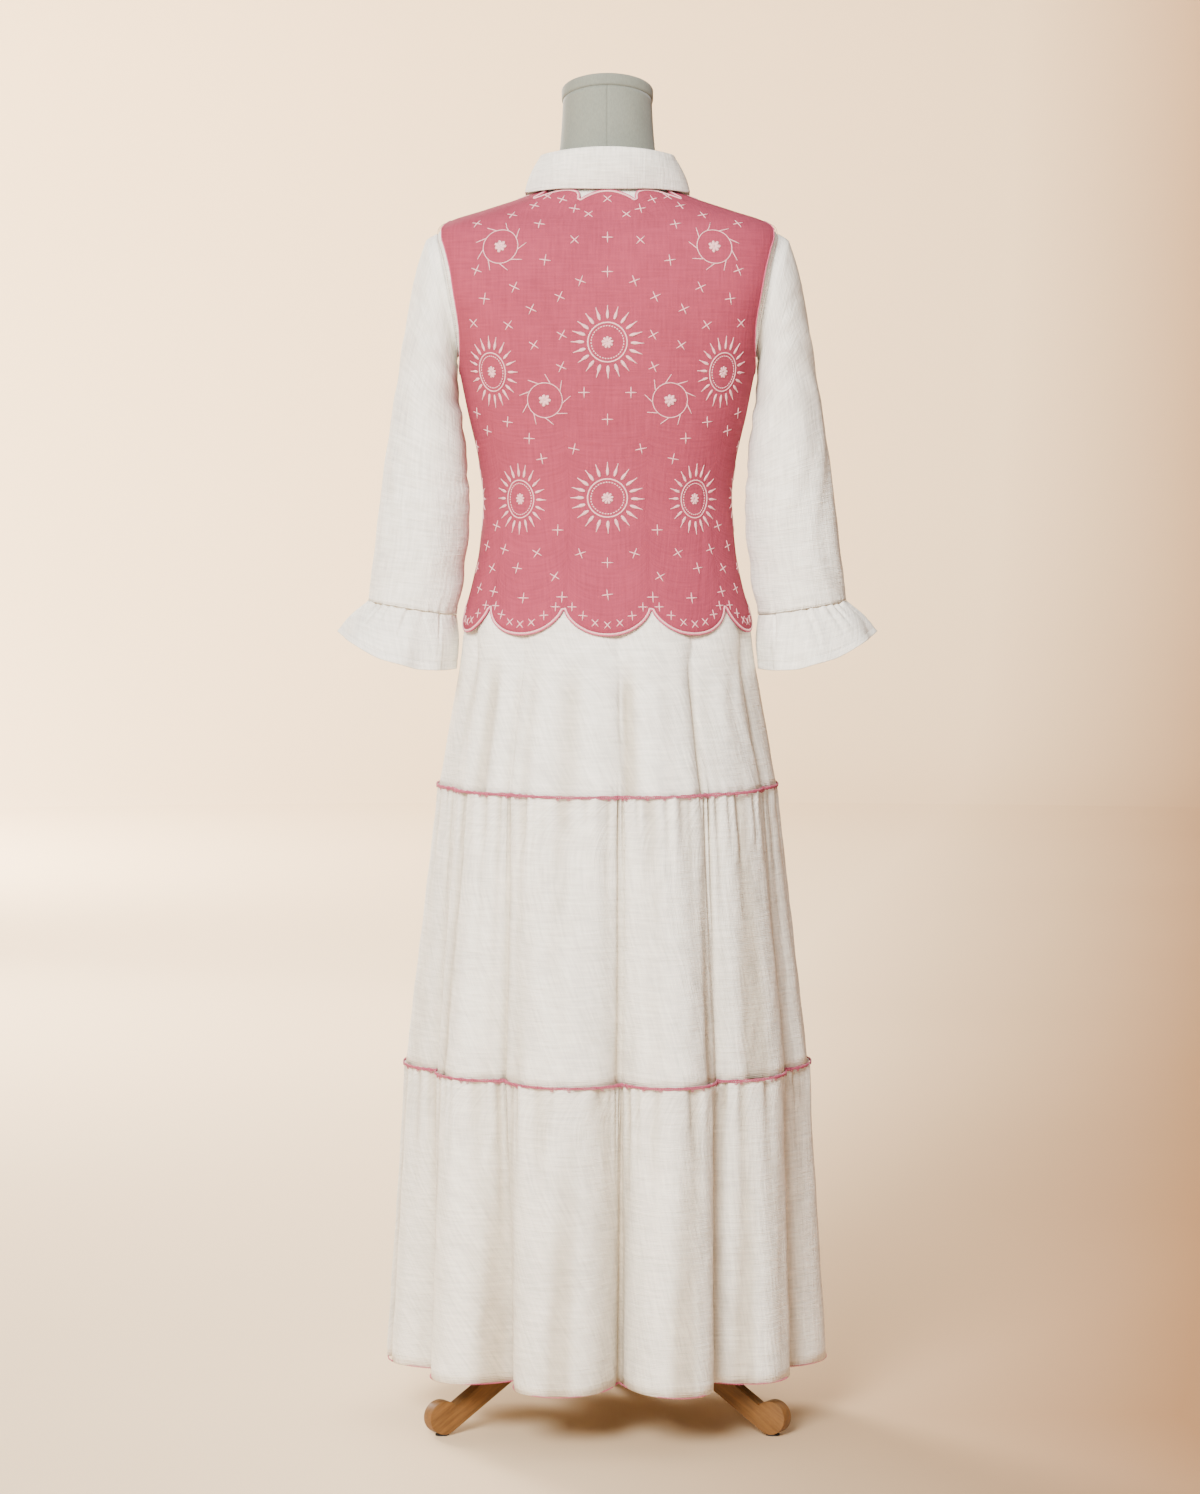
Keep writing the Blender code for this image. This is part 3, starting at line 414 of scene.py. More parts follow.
def apply_modifier(made, kind, **settings):
    """Adds a modifier with its settings and applies it."""
    modifier = made.modifiers.new(kind.title(), kind)
    for key, value in settings.items():
        setattr(modifier, key, value)
    select_only(made)
    bpy.ops.object.modifier_apply(modifier=modifier.name)


def make_cloth(name, grid, cloth, nodes, closed=False, hollow=None):
    """Wall of cloth inside a grid of points, which hides the CAD pieces that it replaces.

    The cloth is its thickness, material and slot; the slot is not used.
    """
    thickness, material, slot = cloth
    made = sheet_object(name, grid, material, closed)
    ring = np.concatenate([grid, grid[:, :1]], axis=1) if closed else grid
    width = lengths_along(ring, 1)[:, -1].max()
    length = lengths_along(ring, 0)[-1].max()
    # Stores the painted fold shade: how much the cloth's colour is darkened in its folds
    if hollow is not None:
        values = made.data.attributes.new("hollow", "FLOAT", "POINT").data
        values.foreach_set("value", np.ascontiguousarray(hollow, np.float32).ravel())
    apply_modifier(made, "SOLIDIFY", thickness=thickness, offset=-1.0, use_even_offset=False)
    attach(made, "root")
    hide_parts(*nodes)
    return made


def mirrored_grid(grid, closed=False):
    """The grid on the other side of the figure, still anticlockwise."""
    flipped = grid[:, ::-1] * np.array([-1.0, 1.0, 1.0])
    return np.roll(flipped, 1, axis=1) if closed else flipped


def thread_object(name, strokes, material, sides=6):
    """One mesh of flattened tubes. A stroke is points, normals, half widths and half heights."""
    points, faces, uvs = [], [], []
    for path, normals, widths, heights in strokes:
        path = np.asarray(path, float)
        count = len(path)
        closed = np.allclose(path[0], path[-1])
        tangents = np.gradient(path, axis=0)
        if closed:
            tangents[0] = tangents[-1] = path[1] - path[-2]
        tangents = unit(tangents)
        side = unit(np.cross(tangents, normals))
        upright = np.cross(side, tangents)
        angles = 2 * np.pi * np.arange(sides) / sides
        wide = np.broadcast_to(np.asarray(widths, float), (count,))[:, None, None] * side[:, None]
        high = np.broadcast_to(np.asarray(heights, float), (count,))[:, None, None] * upright[:, None]
        rings = path[:, None] + wide * np.cos(angles)[:, None] + high * np.sin(angles)[:, None]
        start = sum(len(block) for block in points)
        rings = rings[:-1] if closed else rings
        points.append(rings.reshape(-1, 3))
        along = run_along(path)
        total = len(rings)
        for i in range(count - 1):
            for k in range(sides):
                one, other = start + i * sides, start + ((i + 1) % total) * sides
                after = (k + 1) % sides
                faces.append((one + k, other + k, other + after, one + after))
                low, top = 0.003 * k / sides, 0.003 * (k + 1) / sides
                uvs += [along[i], low, along[i + 1], low, along[i + 1], top, along[i], top]
        if not closed:
            faces.append(tuple(start + k for k in range(sides)))
            faces.append(tuple(start + (total - 1) * sides + k for k in reversed(range(sides))))
            uvs += [0.0] * (4 * sides)
    mesh = bpy.data.meshes.new(name)
    mesh.from_pydata(np.concatenate(points).tolist(), [], faces)
    mesh.uv_layers.new(name="thread").data.foreach_set("uv", uvs)
    mesh.shade_smooth()
    mesh.materials.append(material)
    made = bpy.data.objects.new(name, mesh)
    bpy.context.scene.collection.objects.link(made)
    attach(made, "root")
    return made


def fold_table(step):
    """Turn, fullness, crest radii and recess radii at steps of 1 a fold round the skirt."""
    at = np.floor(step).astype(int)
    phase = step - at - 0.5
    count, total = len(FOLDS), FOLDS[:, 0].sum()
    starts = SKIRT_SIDE + np.concatenate([[0.0], np.cumsum(FOLDS[:-1, 0])]) - FOLDS[0, 0] / 2
    half_turns, index = np.divmod(at, count)
    fold = FOLDS[index]
    middle = starts[index] + fold[..., 0] / 2 + half_turns * total
    turn = middle + fold[..., 0] * (phase + CREST_SHARE * np.sin(2 * np.pi * phase))
    fullness = 0.5 + 0.5 * np.cos(2 * np.pi * phase)
    valley = np.where((phase < 0.0)[..., None], FOLDS[index - 1], fold)
    return turn, fullness, fold, valley


def fold_steps(columns):
    """Even steps of 1 a fold all round the skirt."""
    return 0.5 + FOLD_COUNT * np.arange(columns) / columns


def skirt_base(step, height):
    """Turn and distance from the pole of the skirt's main folds below its upper seam."""
    turn, fullness, fold, valley = fold_table(step)
    top, top_recess = FIRST_TIER[0, 1], FIRST_TIER[0, 1] - FIRST_TIER[0, 4]
    upper = np.clip((UPPER_SEAM_HEIGHT - height) / (UPPER_SEAM_HEIGHT - LOWER_SEAM_HEIGHT), 0.0, 1.0)
    lower = np.clip((LOWER_SEAM_HEIGHT - height) / (LOWER_SEAM_HEIGHT - HEM_HEIGHT), 0.0, 1.0)
    crest = top + (fold[..., 1] - top) * upper + (fold[..., 2] - fold[..., 1]) * lower
    recess = top_recess + (valley[..., 3] - top_recess) * upper + (valley[..., 4] - valley[..., 3]) * lower
    return turn, recess + (crest - recess) * fullness


def polar_grid(turn, radius, height):
    """Points at turns and distances round the pole."""
    angle = np.radians(turn)
    return np.stack([radius * np.sin(angle), -radius * np.cos(angle), height], axis=-1)


def pinched(along, *waves):
    """Uneven ripple with broad crests and narrow troughs, as gathered cloth has."""
    wave = ripple(along, *waves)
    return 0.45 * wave - 0.55 * np.exp(-(((1.0 + wave) / 0.42) ** 2))


def tier_relief(along, drop, length, depth, crease):
    """Gathers under a seam that die out unevenly, and soft folds and creases below them."""
    reach = 0.045 + 0.040 * ripple(along, 0.061)
    pleats = depth * pinched(along, 0.0125, 0.0190) * np.exp(-((drop / reach) ** 2))
    tucks = 0.9 * depth * pinched(along, 0.033) * np.exp(-drop / 0.13)
    swing = smooth(drop / length)
    folds = 0.0062 * pinched(along + 0.006 * swing, 0.074, 0.051) * (0.18 + 0.82 * swing)
    wander = along + 0.010 * np.sin(drop * 31.0 + along * 7.0)
    creases = crease * ripple(wander, 0.027) * np.sin(drop * 43.0 + 5.0 * np.sin(along * 9.0)) * 0.35
    return pleats + tucks + folds + creases


def painted_fold_shade(fullness, relief, below):
    """How deep in a fold each point lies, from 0 to 1: painted shade, by which the cloth's colour is
    darkened in its folds.
    """
    between_folds = 0.8 * (1.0 - fullness) ** 2.5 * below
    return np.clip(between_folds + 0.75 * np.clip(-relief / 0.0042, 0.0, 1.0), 0.0, 1.0)


def tier_grid(top, bottom, columns, sizes, shift):
    """Grid of one of the two lower tiers, all round, from its hem up, and the painted shade of its folds."""
    steps = fold_steps(columns)
    rise = np.linspace(0.0, 1.0, 39)
    drop = (top - bottom) * (1.0 - rise) ** 1.35
    height = np.broadcast_to((top - drop)[:, None], (len(drop), columns))
    turn, radius = skirt_base(np.broadcast_to(steps, height.shape), height)
    grid = polar_grid(turn, radius, height)
    along = np.broadcast_to(np.arange(columns) / columns * 1.46 + shift, height.shape)
    relief = tier_relief(along, drop[:, None], top - bottom, sizes.gather_depth, sizes.crease_depth)
    fullness = fold_table(steps)[1]
    relief = relief * (0.7 + 0.3 * fullness)
    edge = np.exp(-(((height - bottom) / 0.004) ** 2))
    normals = grid_normals(grid, closed=True)
    normals[..., 2] = 0.0
    grid = grid + unit(normals) * (relief - 0.0004 * edge)[..., None]
    # The painted fold shade grows stronger towards the hem
    below = 0.5 + 0.5 * (UPPER_SEAM_HEIGHT - height) / (UPPER_SEAM_HEIGHT - HEM_HEIGHT)
    return grid, painted_fold_shade(fullness, relief, below)


def first_tier_table():
    """The tier that hangs from the waist: height, half width, back, front, power and fold depth."""
    rows = [(*row[:4], 2.0, row[4]) for row in FIRST_TIER]
    for height in np.linspace(0.982, 1.140, 12):
        lift = VEST_LIFT - VEST_CLOTH + through(FIGURE, VEST_EASE, height) - 0.0014
        sizes = [through(FIGURE, column, height) + lift for column in (HALF_WIDTH, BACK, FRONT)]
        depth = np.interp(height, UNDER_VEST[:, 0], UNDER_VEST[:, 1])
        rows.append((float(height), *sizes, through(FIGURE, POWER, height), depth))
    return np.array(rows, float)


def first_tier_grid(columns, sizes):
    """Grid of the tier below the waist, all round, from its hem up, and the painted shade of its folds."""
    table = first_tier_table()
    height = np.linspace(UPPER_SEAM_HEIGHT, WAIST_HEIGHT - SEAM_GAP, 38)[:, None]
    height = np.broadcast_to(height, (38, columns))
    turn, fullness, _, _ = fold_table(np.broadcast_to(fold_steps(columns), height.shape))
    inset = through(table, 5, height) * (1.0 - fullness)
    half_width, back, front, power = (through(table, column, height) for column in range(1, 5))
    x, y = outline(turn, half_width - inset, back - inset, front - inset, 0.0, power)
    grid = np.stack([x, y, height], axis=-1)
    along = np.broadcast_to(np.arange(columns) / columns * 1.2, height.shape)
    below = smooth((0.965 - height) / 0.06)
    folds = 0.0048 * pinched(along, 0.083, 0.047) * below
    pucker = 0.0006 * ripple(along, 0.013) * np.exp(-(height - UPPER_SEAM_HEIGHT) / 0.012)
    crease = sizes.crease_depth * 0.4 * ripple(along + 0.01 * np.sin(height * 30.0), 0.031) * below
    normals = grid_normals(grid, closed=True)
    return grid + normals * (folds + pucker + crease)[..., None], painted_fold_shade(fullness, folds, 0.45 * below)


def skirt_line(height, columns):
    """Points and outward normals of a closed line round the skirt at a tier's seam or hem."""
    turn, radius = skirt_base(fold_steps(columns), np.full(columns, height))
    line = polar_grid(turn, radius, np.full(columns, height))
    across = np.roll(line, -1, axis=0) - np.roll(line, 1, axis=0)
    normals = unit(np.stack([across[:, 1], -across[:, 0], np.zeros(columns)], axis=-1))
    return closed_line(line), closed_line(normals)


def neckline_height(turn):
    return 1.5170 - 0.0200 * smooth((np.abs(turn) - 90.0) / 90.0)


def waist_height(turn):
    return np.full_like(turn, WAIST_HEIGHT + SEAM_GAP)


def scallop_arch(turn):
    """0 at a scallop's notches and 1 in its middle, on an arc."""
    lap = (turn / SCALLOP_TURN + 0.5) % 1.0
    return np.sqrt(np.maximum(0.0, 1.0 - (2.0 * lap - 1.0) ** 2)) ** 1.25


def vest_hem(turn):
    return VEST_HEM_HEIGHT + 0.0310 * (1.0 - scallop_arch(turn))


def vest_neck(turn):
    forward = np.maximum(0.0, (np.abs(turn) - 90.0) / 90.0)
    return 1.5035 - 0.0785 * forward**1.5 + 0.0140 * scallop_arch(turn)


def panel_grid(levels, start, end, count, armhole, bottom_at, top_at):
    """Turns and heights of a body panel from its hem up. Its columns draw in at the armhole.

    A level is 0 at the hem, 1 at the underarm, 2 at the shoulder's tip and 3 at the neck.
    """
    bottom, top, _ = armhole
    facing = 1.0 if end > 90.0 else -1.0
    level, turn = np.meshgrid(levels, np.linspace(start, end, count + 1), indexing="ij")
    ends = (bottom_at(turn), np.full_like(turn, bottom), np.full_like(turn, top), top_at(turn))
    spans = [low + (high - low) * (level - i) for i, (low, high) in enumerate(zip(ends, ends[1:]))]
    height = np.where(level < 1.0, spans[0], np.where(level < 2.0, spans[1], spans[2]))
    leaning = ends[1] + (ends[3] - ends[1]) * (level - 1.0) / 2.0
    lean = np.where((np.abs(turn) > 90.0) & (level > 1.0), smooth((np.abs(turn) - 120.0) / 60.0), 0.0)
    height = height + (leaning - height) * lean
    edge = armhole_turn(bottom + (top - bottom) * np.clip(levels - 1.0, 0.0, 1.0), armhole)[:, None]
    share = np.abs(np.abs(turn) - 90.0) / 90.0
    moved = 90.0 + facing * (90.0 * share + edge * (1.0 - share) ** 2)
    return np.copysign(moved, turn), height


def panel_levels(low, middle, high):
    """Levels that crowd together at the underarm and the shoulder's tip."""
    turn = np.linspace(0.0, math.pi, middle + 1)
    below = np.linspace(0.0, 1.0, low + 1)
    above = 2.0 + np.linspace(0.0, 1.0, high + 1) ** 1.3
    return np.concatenate([below[:-1], 1.0 + (1.0 - np.cos(turn)) / 2.0, above[1:]])


def vest_dart(turn, height):
    """Depth of the two back darts: a shallow stitched groove that dies out at both ends."""
    x = figure_point(turn, height)[..., 0]
    line = 0.1075 + 0.010 * np.clip((height - 1.0) / 0.22, 0.0, 1.0)
    away = (np.abs(x) - line) / 0.0014
    fade = smooth((height - 0.995) / 0.03) * smooth((1.222 - height) / 0.05)
    return -0.0009 * np.exp(-(away**2)) * fade * (np.abs(turn) < 90.0)


def on_bodice(turn, height):
    """Points on the bodice's outer face."""
    return on_figure(turn, height, BODICE_LIFT)


def vest_lift(turn, height):
    """How far the vest's outer face is from the figure."""
    ease = through(FIGURE, VEST_EASE, height)
    soft = 0.0005 * np.sin(np.radians(turn) * 5.0 + 9.0 * height) * np.sin(height * 38.0)
    return VEST_LIFT + ease + soft + vest_dart(turn, height)


def on_vest(turn, height, lift=0.0):
    """Points at a lift over the vest's outer face."""
    return on_figure(turn, height, vest_lift(turn, height) + lift)


def step_on_figure(turn, height, here, target):
    """Turns and heights moved so that their points come as near as they can to the targets."""
    missing = target - here
    per_turn = (figure_point(turn + 0.2, height) - figure_point(turn - 0.2, height)) / 0.4
    per_height = (figure_point(turn, height + 0.0004) - figure_point(turn, height - 0.0004)) / 0.0008
    a = (per_turn**2).sum(-1)
    b = (per_turn * per_height).sum(-1)
    c = (per_height**2).sum(-1)
    p, q = (missing * per_turn).sum(-1), (missing * per_height).sum(-1)
    scale = np.maximum(a * c - b * b, 1e-12)
    return turn + (c * p - b * q) / scale, height + (a * q - b * p) / scale


def slide_on_vest(turn, height, away, distance):
    """Turns and heights of points moved along the vest's surface, square to a line on it."""
    line = on_vest(turn, height)
    inwards = unit(np.cross(figure_normal(turn, height), np.gradient(line, axis=0))) * away
    for _ in range(3):
        turn, height = step_on_figure(turn, height, on_vest(turn, height), line + inwards * distance)
    return turn, height


def walk_on_figure(turn, height, across, up):
    """Turns and heights of pattern points, reached straight over the surface from their centres."""
    normal = figure_normal(turn, height)
    upright = unit(UPWARDS - normal * normal[:, 2:])
    heading = unit(np.cross(upright, normal) * across[:, None] + upright * up[:, None])
    step = np.hypot(across, up)[:, None] / 6
    for _ in range(6):
        here = figure_point(turn, height)
        turn, height = step_on_figure(turn, height, here, here + heading * step)
        normal = figure_normal(turn, height)
        heading = unit(heading - normal * (heading * normal).sum(axis=-1, keepdims=True))
    return turn, height


def fold_height(turn):
    turn = np.abs(turn)
    return 1.5690 - 0.0080 * smooth(turn / 90.0) - 0.0370 * smooth((turn - 90.0) / 90.0)


def fold_point(turn, outwards, rise):
    """Points beside the line that the collar folds on."""
    reach = FOLD_HALF_DEPTH + outwards
    x, y = outline(turn, FOLD_HALF_WIDTH + outwards, reach, reach, FOLD_MIDDLE, 2.0)
    return np.stack([x, y, fold_height(turn) + rise], axis=-1)


def fold_turn(turn):
    """The turn on the collar's fold line above a turn on the fall's lower edge."""
    spread = COLLAR_END_TURN - COLLAR_POINT_TURN
    return turn + np.copysign(spread * smooth((np.abs(turn) - 60.0) / (COLLAR_POINT_TURN - 60.0)), turn)


def figure_height_at(x, y):
    """Heights near the shoulders at which the figure's section passes through places seen from above."""
    low, high = np.full_like(y, 1.4), np.full_like(y, 1.53)
    for _ in range(30):
        height = (low + high) / 2
        depth = y - through(FIGURE, MIDDLE, height)
        reach = np.where(depth < 0.0, through(FIGURE, BACK, height), through(FIGURE, FRONT, height))
        power = through(FIGURE, POWER, height)
        outside = (x / through(FIGURE, HALF_WIDTH, height)) ** power + (np.abs(depth) / reach) ** power > 1.0
        low, high = np.where(outside, low, height), np.where(outside, height, high)
    return (low + high) / 2


def collar_edge(turn):
    """Lower edge of the collar's fall, above the vest. It runs straight forward from the sides."""
    share = np.abs(turn) / 90.0
    side = figure_point(90.0, 1.5075)
    forward = np.maximum(0.0, (np.abs(turn) - 90.0) / (COLLAR_POINT_TURN - 90.0)) ** 1.2
    depth = side[1] + (COLLAR_POINT_DEPTH - side[1]) * forward
    height = figure_height_at(side[0], depth)
    across = side[0] / through(FIGURE, HALF_WIDTH, height)
    along = (depth - through(FIGURE, MIDDLE, height)) / through(FIGURE, FRONT, height)
    ahead = np.copysign(np.degrees(np.arctan2(across, -along)), turn)
    behind = share <= 1.0
    turns = np.where(behind, turn, ahead)
    height = np.where(behind, 1.5165 - 0.0090 * smooth(share), height)
    return on_figure(turns, height, COLLAR_LIFT + 0.0030 * smooth((np.abs(turn) - 75.0) / 25.0))


def collar_grids():
    """The collar's stand, and its fall from the lower edge up over the fold."""
    turns = np.linspace(-COLLAR_POINT_TURN, COLLAR_POINT_TURN, 145)
    around = fold_turn(turns) * STAND_END_TURN / COLLAR_END_TURN
    base = on_bodice(around, neckline_height(around)) + UPWARDS * 0.0008
    stand_top = fold_point(around, -0.0003, -0.0003)
    stand = np.stack([base + (stand_top - base) * share for share in np.linspace(0.0, 1.0, 10)])
    edge, above = collar_edge(turns), fold_turn(turns)
    middle = (fold_point(above, 0.0042, -0.0040) + edge) / 2
    outwards = unit((middle - np.array([0.0, FOLD_MIDDLE, 0.0])) * np.array([1.0, 1.0, 0.0]))
    middle = middle + outwards * 0.0030
    high, fold = fold_point(above, 0.0036, -0.0030), fold_point(above, 0.0012, 0.0008)
    rows = []
    for share in np.linspace(0.0, 1.0, 22):
        bow = 2 * share * (1 - share)
        control = middle * 2 - (edge + high) / 2
        rows.append(edge * (1 - share) ** 2 + control * bow + high * share**2)
    for share in (0.35, 0.7, 1.0):
        turn_over = high + (fold - high) * share
        rows.append(turn_over + outwards * 0.0006 * math.sin(math.pi * share))
    return stand, np.stack(rows)


def ring_grid(table, shares, columns):
    """Rings of a sleeve from the cuff up, from its outer side by the back to the body side."""
    at = np.asarray(shares) * (len(table) - 1)
    places = np.concatenate([np.arange(len(table), dtype=float)[:, None], table], axis=1)
    outer_x, outer_z, inner_x, inner_z, half_depth = (through(places, k, at)[:, None] for k in range(1, 6))
    angle = (2 * np.pi * np.arange(columns) / columns)[None, :]
    x = (outer_x + inner_x) / 2 + (outer_x - inner_x) / 2 * np.cos(angle)
    z = (outer_z + inner_z) / 2 + (outer_z - inner_z) / 2 * np.cos(angle)
    return np.stack([x, half_depth * np.sin(angle), z], axis=-1), angle


def armscye_ring(columns, inset, lift):
    """Ring round the inside of the bodice's armhole."""
    bottom, top, half_depth = ARMHOLE
    angle = 2 * np.pi * np.arange(columns) / columns
    height = (top + bottom) / 2 + ((top - bottom) / 2 - inset) * np.cos(angle)
    depth = (half_depth - inset) * np.sin(angle)
    return np.stack([half_width_at(depth, height) + BODICE_LIFT + lift, depth, height], axis=-1)


def sleeve_grid(columns, sizes):
    """Right sleeve from its cuff seam up to the armhole, with its seam turned in at the top."""
    shares = np.linspace(0.0, 1.0, 70)
    grid, angle = ring_grid(SLEEVE, shares, columns)
    head = armscye_ring(columns, 0.0008, SLEEVE_STAND_OFF)
    blend = np.linspace(0.0, 1.0, 9)[1:, None, None]
    roll = grid[-1][None] * (1 - blend) + head[None] * blend
    roll = roll + np.array([0.0012, 0.0, 0.0]) * np.sin(np.pi * blend)
    turned_in = armscye_ring(columns, 0.0006, -0.0006)[None]
    grid = np.concatenate([grid, roll, turned_in])
    normals = -grid_normals(grid, closed=True)
    along = lengths_along(np.concatenate([grid, grid[:, :1]], axis=1), 1)[:, :-1]
    rise = lengths_along(grid, 0).mean(axis=1)[:, None]
    top = rise[-10]
    calm = smooth(rise / 0.02) * smooth((top - rise) / 0.05)
    inner = 0.5 - 0.5 * np.cos(angle)
    slant = rise + 0.35 * along
    drag = ripple(slant, 0.043, 0.071) * (0.35 + 0.65 * inner) * smooth((0.34 - np.abs(rise - 0.20)) / 0.2)
    soft = 0.55 * ripple(along + 0.02 * np.sin(rise * 21.0), 0.058)
    pucker = 0.0011 * ripple(along, 0.0115, 0.017) * np.exp(-rise / 0.011)
    relief = sizes.crease_depth * (drag + soft) * calm + pucker
    relief[-10:] = 0.0
    return grid + orient(grid, normals) * relief[..., None]


def orient(grid, normals):
    """Normals turned to point away from the tube's own middle."""
    middle = grid.mean(axis=1, keepdims=True)
    outwards = ((grid - middle) * normals).sum(axis=-1, keepdims=True)
    return np.where(outwards.mean() < 0.0, -normals, normals)


def ruffle_grid(columns, sizes):
    """Right ruffle from its hem up to the cuff's seam. A groove holds the hem's topstitching."""
    shares = np.concatenate([[0.0, 0.015, 0.03, 0.13, 0.145, 0.16], np.linspace(0.2, 1.0, 28)])
    grid, angle = ring_grid(RUFFLE, shares, columns)
    share = shares[:, None]
    grid[..., 2] -= 0.0120 * np.sin(angle) ** 2 * (1.0 - share)
    grid[..., 2] -= 0.0004 * share
    normals = orient(grid, grid_normals(grid, closed=True))
    along = angle / (2 * np.pi) * 0.30
    length = 0.062
    drop = (1.0 - share) * length
    waves = 0.0040 * np.cos(8 * angle + 0.6 * np.sin(3 * angle)) * (1.0 - share) ** 1.2
    reach = 0.020 + 0.017 * ripple(along, 0.043)
    pleats = sizes.ruffle_gather_depth * pinched(along, 0.0088, 0.0140) * np.exp(-((drop / reach) ** 2))
    tucks = 0.0014 * ripple(along, 0.021) * np.exp(-drop / 0.03)
    groove = -0.0005 * np.exp(-(((share - shares[STITCH_ROW]) / 0.012) ** 2))
    clear = np.where(np.cos(angle) > -0.75, 1.0, 0.25)
    relief = ((waves + tucks) * clear + pleats * (0.4 + 0.6 * clear)) * 0.9 + groove
    return grid + normals * relief[..., None]


def node(tree, kind, inputs=(), **settings):
    """Adds a shader node. inputs maps an input's name or number to a value or a socket that feeds it."""
    made = tree.nodes.new(kind)
    for key, value in settings.items():
        setattr(made, key, value)
    for key, value in dict(inputs).items():
        if isinstance(value, bpy.types.NodeSocket):
            tree.links.new(value, made.inputs[key])
        else:
            made.inputs[key].default_value = value
    return made


def sums(tree, operation, *values):
    """The result of a sum of values and sockets."""
    return node(tree, "ShaderNodeMath", dict(enumerate(values)), operation=operation).outputs[0]


def noise(tree, place, scale, detail, roughness=0.5):
    inputs = {"Vector": place, "Scale": scale, "Detail": detail, "Roughness": roughness}
    return node(tree, "ShaderNodeTexNoise", inputs).outputs["Fac"]


def bands(tree, place, scale, direction, **inputs):
    inputs = {"Vector": place, "Scale": scale, **inputs}
    made = node(tree, "ShaderNodeTexWave", inputs, wave_type="BANDS", bands_direction=direction)
    return made.outputs["Fac"]


def mapped(tree, place, **inputs):
    """A place that is scaled or turned for a pattern."""
    return node(tree, "ShaderNodeMapping", {"Vector": place, **inputs}).outputs[0]


def ranged(tree, value, **limits):
    """A value moved from one range to another. A limit is From_Min, From_Max, To_Min or To_Max."""
    limits = {key.replace("_", " "): limit for key, limit in limits.items()}
    return node(tree, "ShaderNodeMapRange", {"Value": value, **limits}).outputs[0]


def ramp(tree, factor, low, high, start=0.0, end=1.0):
    """A colour that goes from low to high as the factor goes from start to end."""
    made = node(tree, "ShaderNodeValToRGB", {"Fac": factor})
    for element, position, colour in zip(made.color_ramp.elements, (start, end), (low, high)):
        element.position = position
        element.color = colour
    return made.outputs["Color"]


def attribute(tree, name, output):
    """What a mesh's own attribute holds, as its Fac or its Vector."""
    made = node(tree, "ShaderNodeAttribute", attribute_name=name, attribute_type="GEOMETRY")
    return made.outputs[output]


def object_place(tree):
    return node(tree, "ShaderNodeTexCoord").outputs["Object"]


def new_material(name, colour, roughness, **sockets):
    """A principled material, its tree and its shader, with constants on the shader's own sockets."""
    material = bpy.data.materials.new(name)
    material.use_nodes = True
    material.diffuse_color = (*colour, 1.0)
    shader = material.node_tree.nodes["Principled BSDF"]
    shader.inputs["Base Color"].default_value = (*colour, 1.0)
    shader.inputs["Roughness"].default_value = roughness
    for key, value in sockets.items():
        shader.inputs[key.replace("_", " ")].default_value = value
    return material, material.node_tree, shader


def feed(tree, shader, colour=None, roughness=None, bump=None):
    """Links a colour and a roughness to the shader, and a bump of a strength, a distance and a height."""
    if colour is not None:
        tree.links.new(colour, shader.inputs["Base Color"])
    if roughness is not None:
        tree.links.new(roughness, shader.inputs["Roughness"])
    if bump is not None:
        raised = node(tree, "ShaderNodeBump", dict(zip(("Strength", "Distance", "Height"), bump)))
        tree.links.new(raised.outputs["Normal"], shader.inputs["Normal"])


def shade(colour, amount):
    return (*(min(1.0, c * amount) for c in colour), 1.0)


# Painted fold shade: what the cloth's colour is multiplied by in the depth of a fold
FOLD_SHADE_COLOUR = (0.63, 0.57, 0.48, 1.0)


def woven_cloth(name, colour, spacing, slub, mottle, relief, sheen):
    """Plain weave of spun yarn: crossed threads, thick slubs along both ways, a little sheen and painted
    shade in the folds.

    The yarns are about 0.5 mm in the real cloth and are drawn coarser so that they show.
    """
    material, tree, shader = new_material(
        name, colour, 0.92, Sheen_Weight=sheen, Sheen_Roughness=0.55, Specular_IOR_Level=0.18)
    uv = node(tree, "ShaderNodeUVMap", uv_map="cloth").outputs["UV"]
    wave_scale = math.pi / 10.0 / spacing
    warp, weft = (bands(tree, uv, wave_scale, direction) for direction in ("X", "Y"))
    slub_scales = ((0.55 / spacing, 26.0, 1.0), (26.0, 0.55 / spacing, 1.0))
    slubs = [noise(tree, mapped(tree, uv, Scale=scale), 1.0, 1.0, 0.6) for scale in slub_scales]
    both = sums(tree, "ADD", *slubs)
    height = sums(tree, "MULTIPLY_ADD", sums(tree, "ADD", warp, weft), 0.22, both)
    uneven = sums(tree, "MULTIPLY_ADD", noise(tree, uv, 17.0, 1.0), mottle, both)
    worn = ranged(tree, uneven, From_Min=0.70 + mottle * 0.35, From_Max=1.30 + mottle * 0.65)
    yarn = ramp(tree, worn, shade(colour, 1.0 - slub), shade(colour, 1.0 + slub * 0.6))
    # Painted shade: the cloth's colour is darkened in the depth of its folds, by the mesh's stored fold
    # depth
    mixed = {"Fac": attribute(tree, "hollow", "Fac"), "Color1": yarn, "Color2": FOLD_SHADE_COLOUR}
    shaded = node(tree, "ShaderNodeMixRGB", mixed, blend_type="MULTIPLY")
    crepe = sums(tree, "MULTIPLY_ADD", noise(tree, uv, 120.0, 1.0), 0.8, height)
    feed(tree, shader, shaded.outputs[0], bump=(0.8, relief, crepe))
    return material


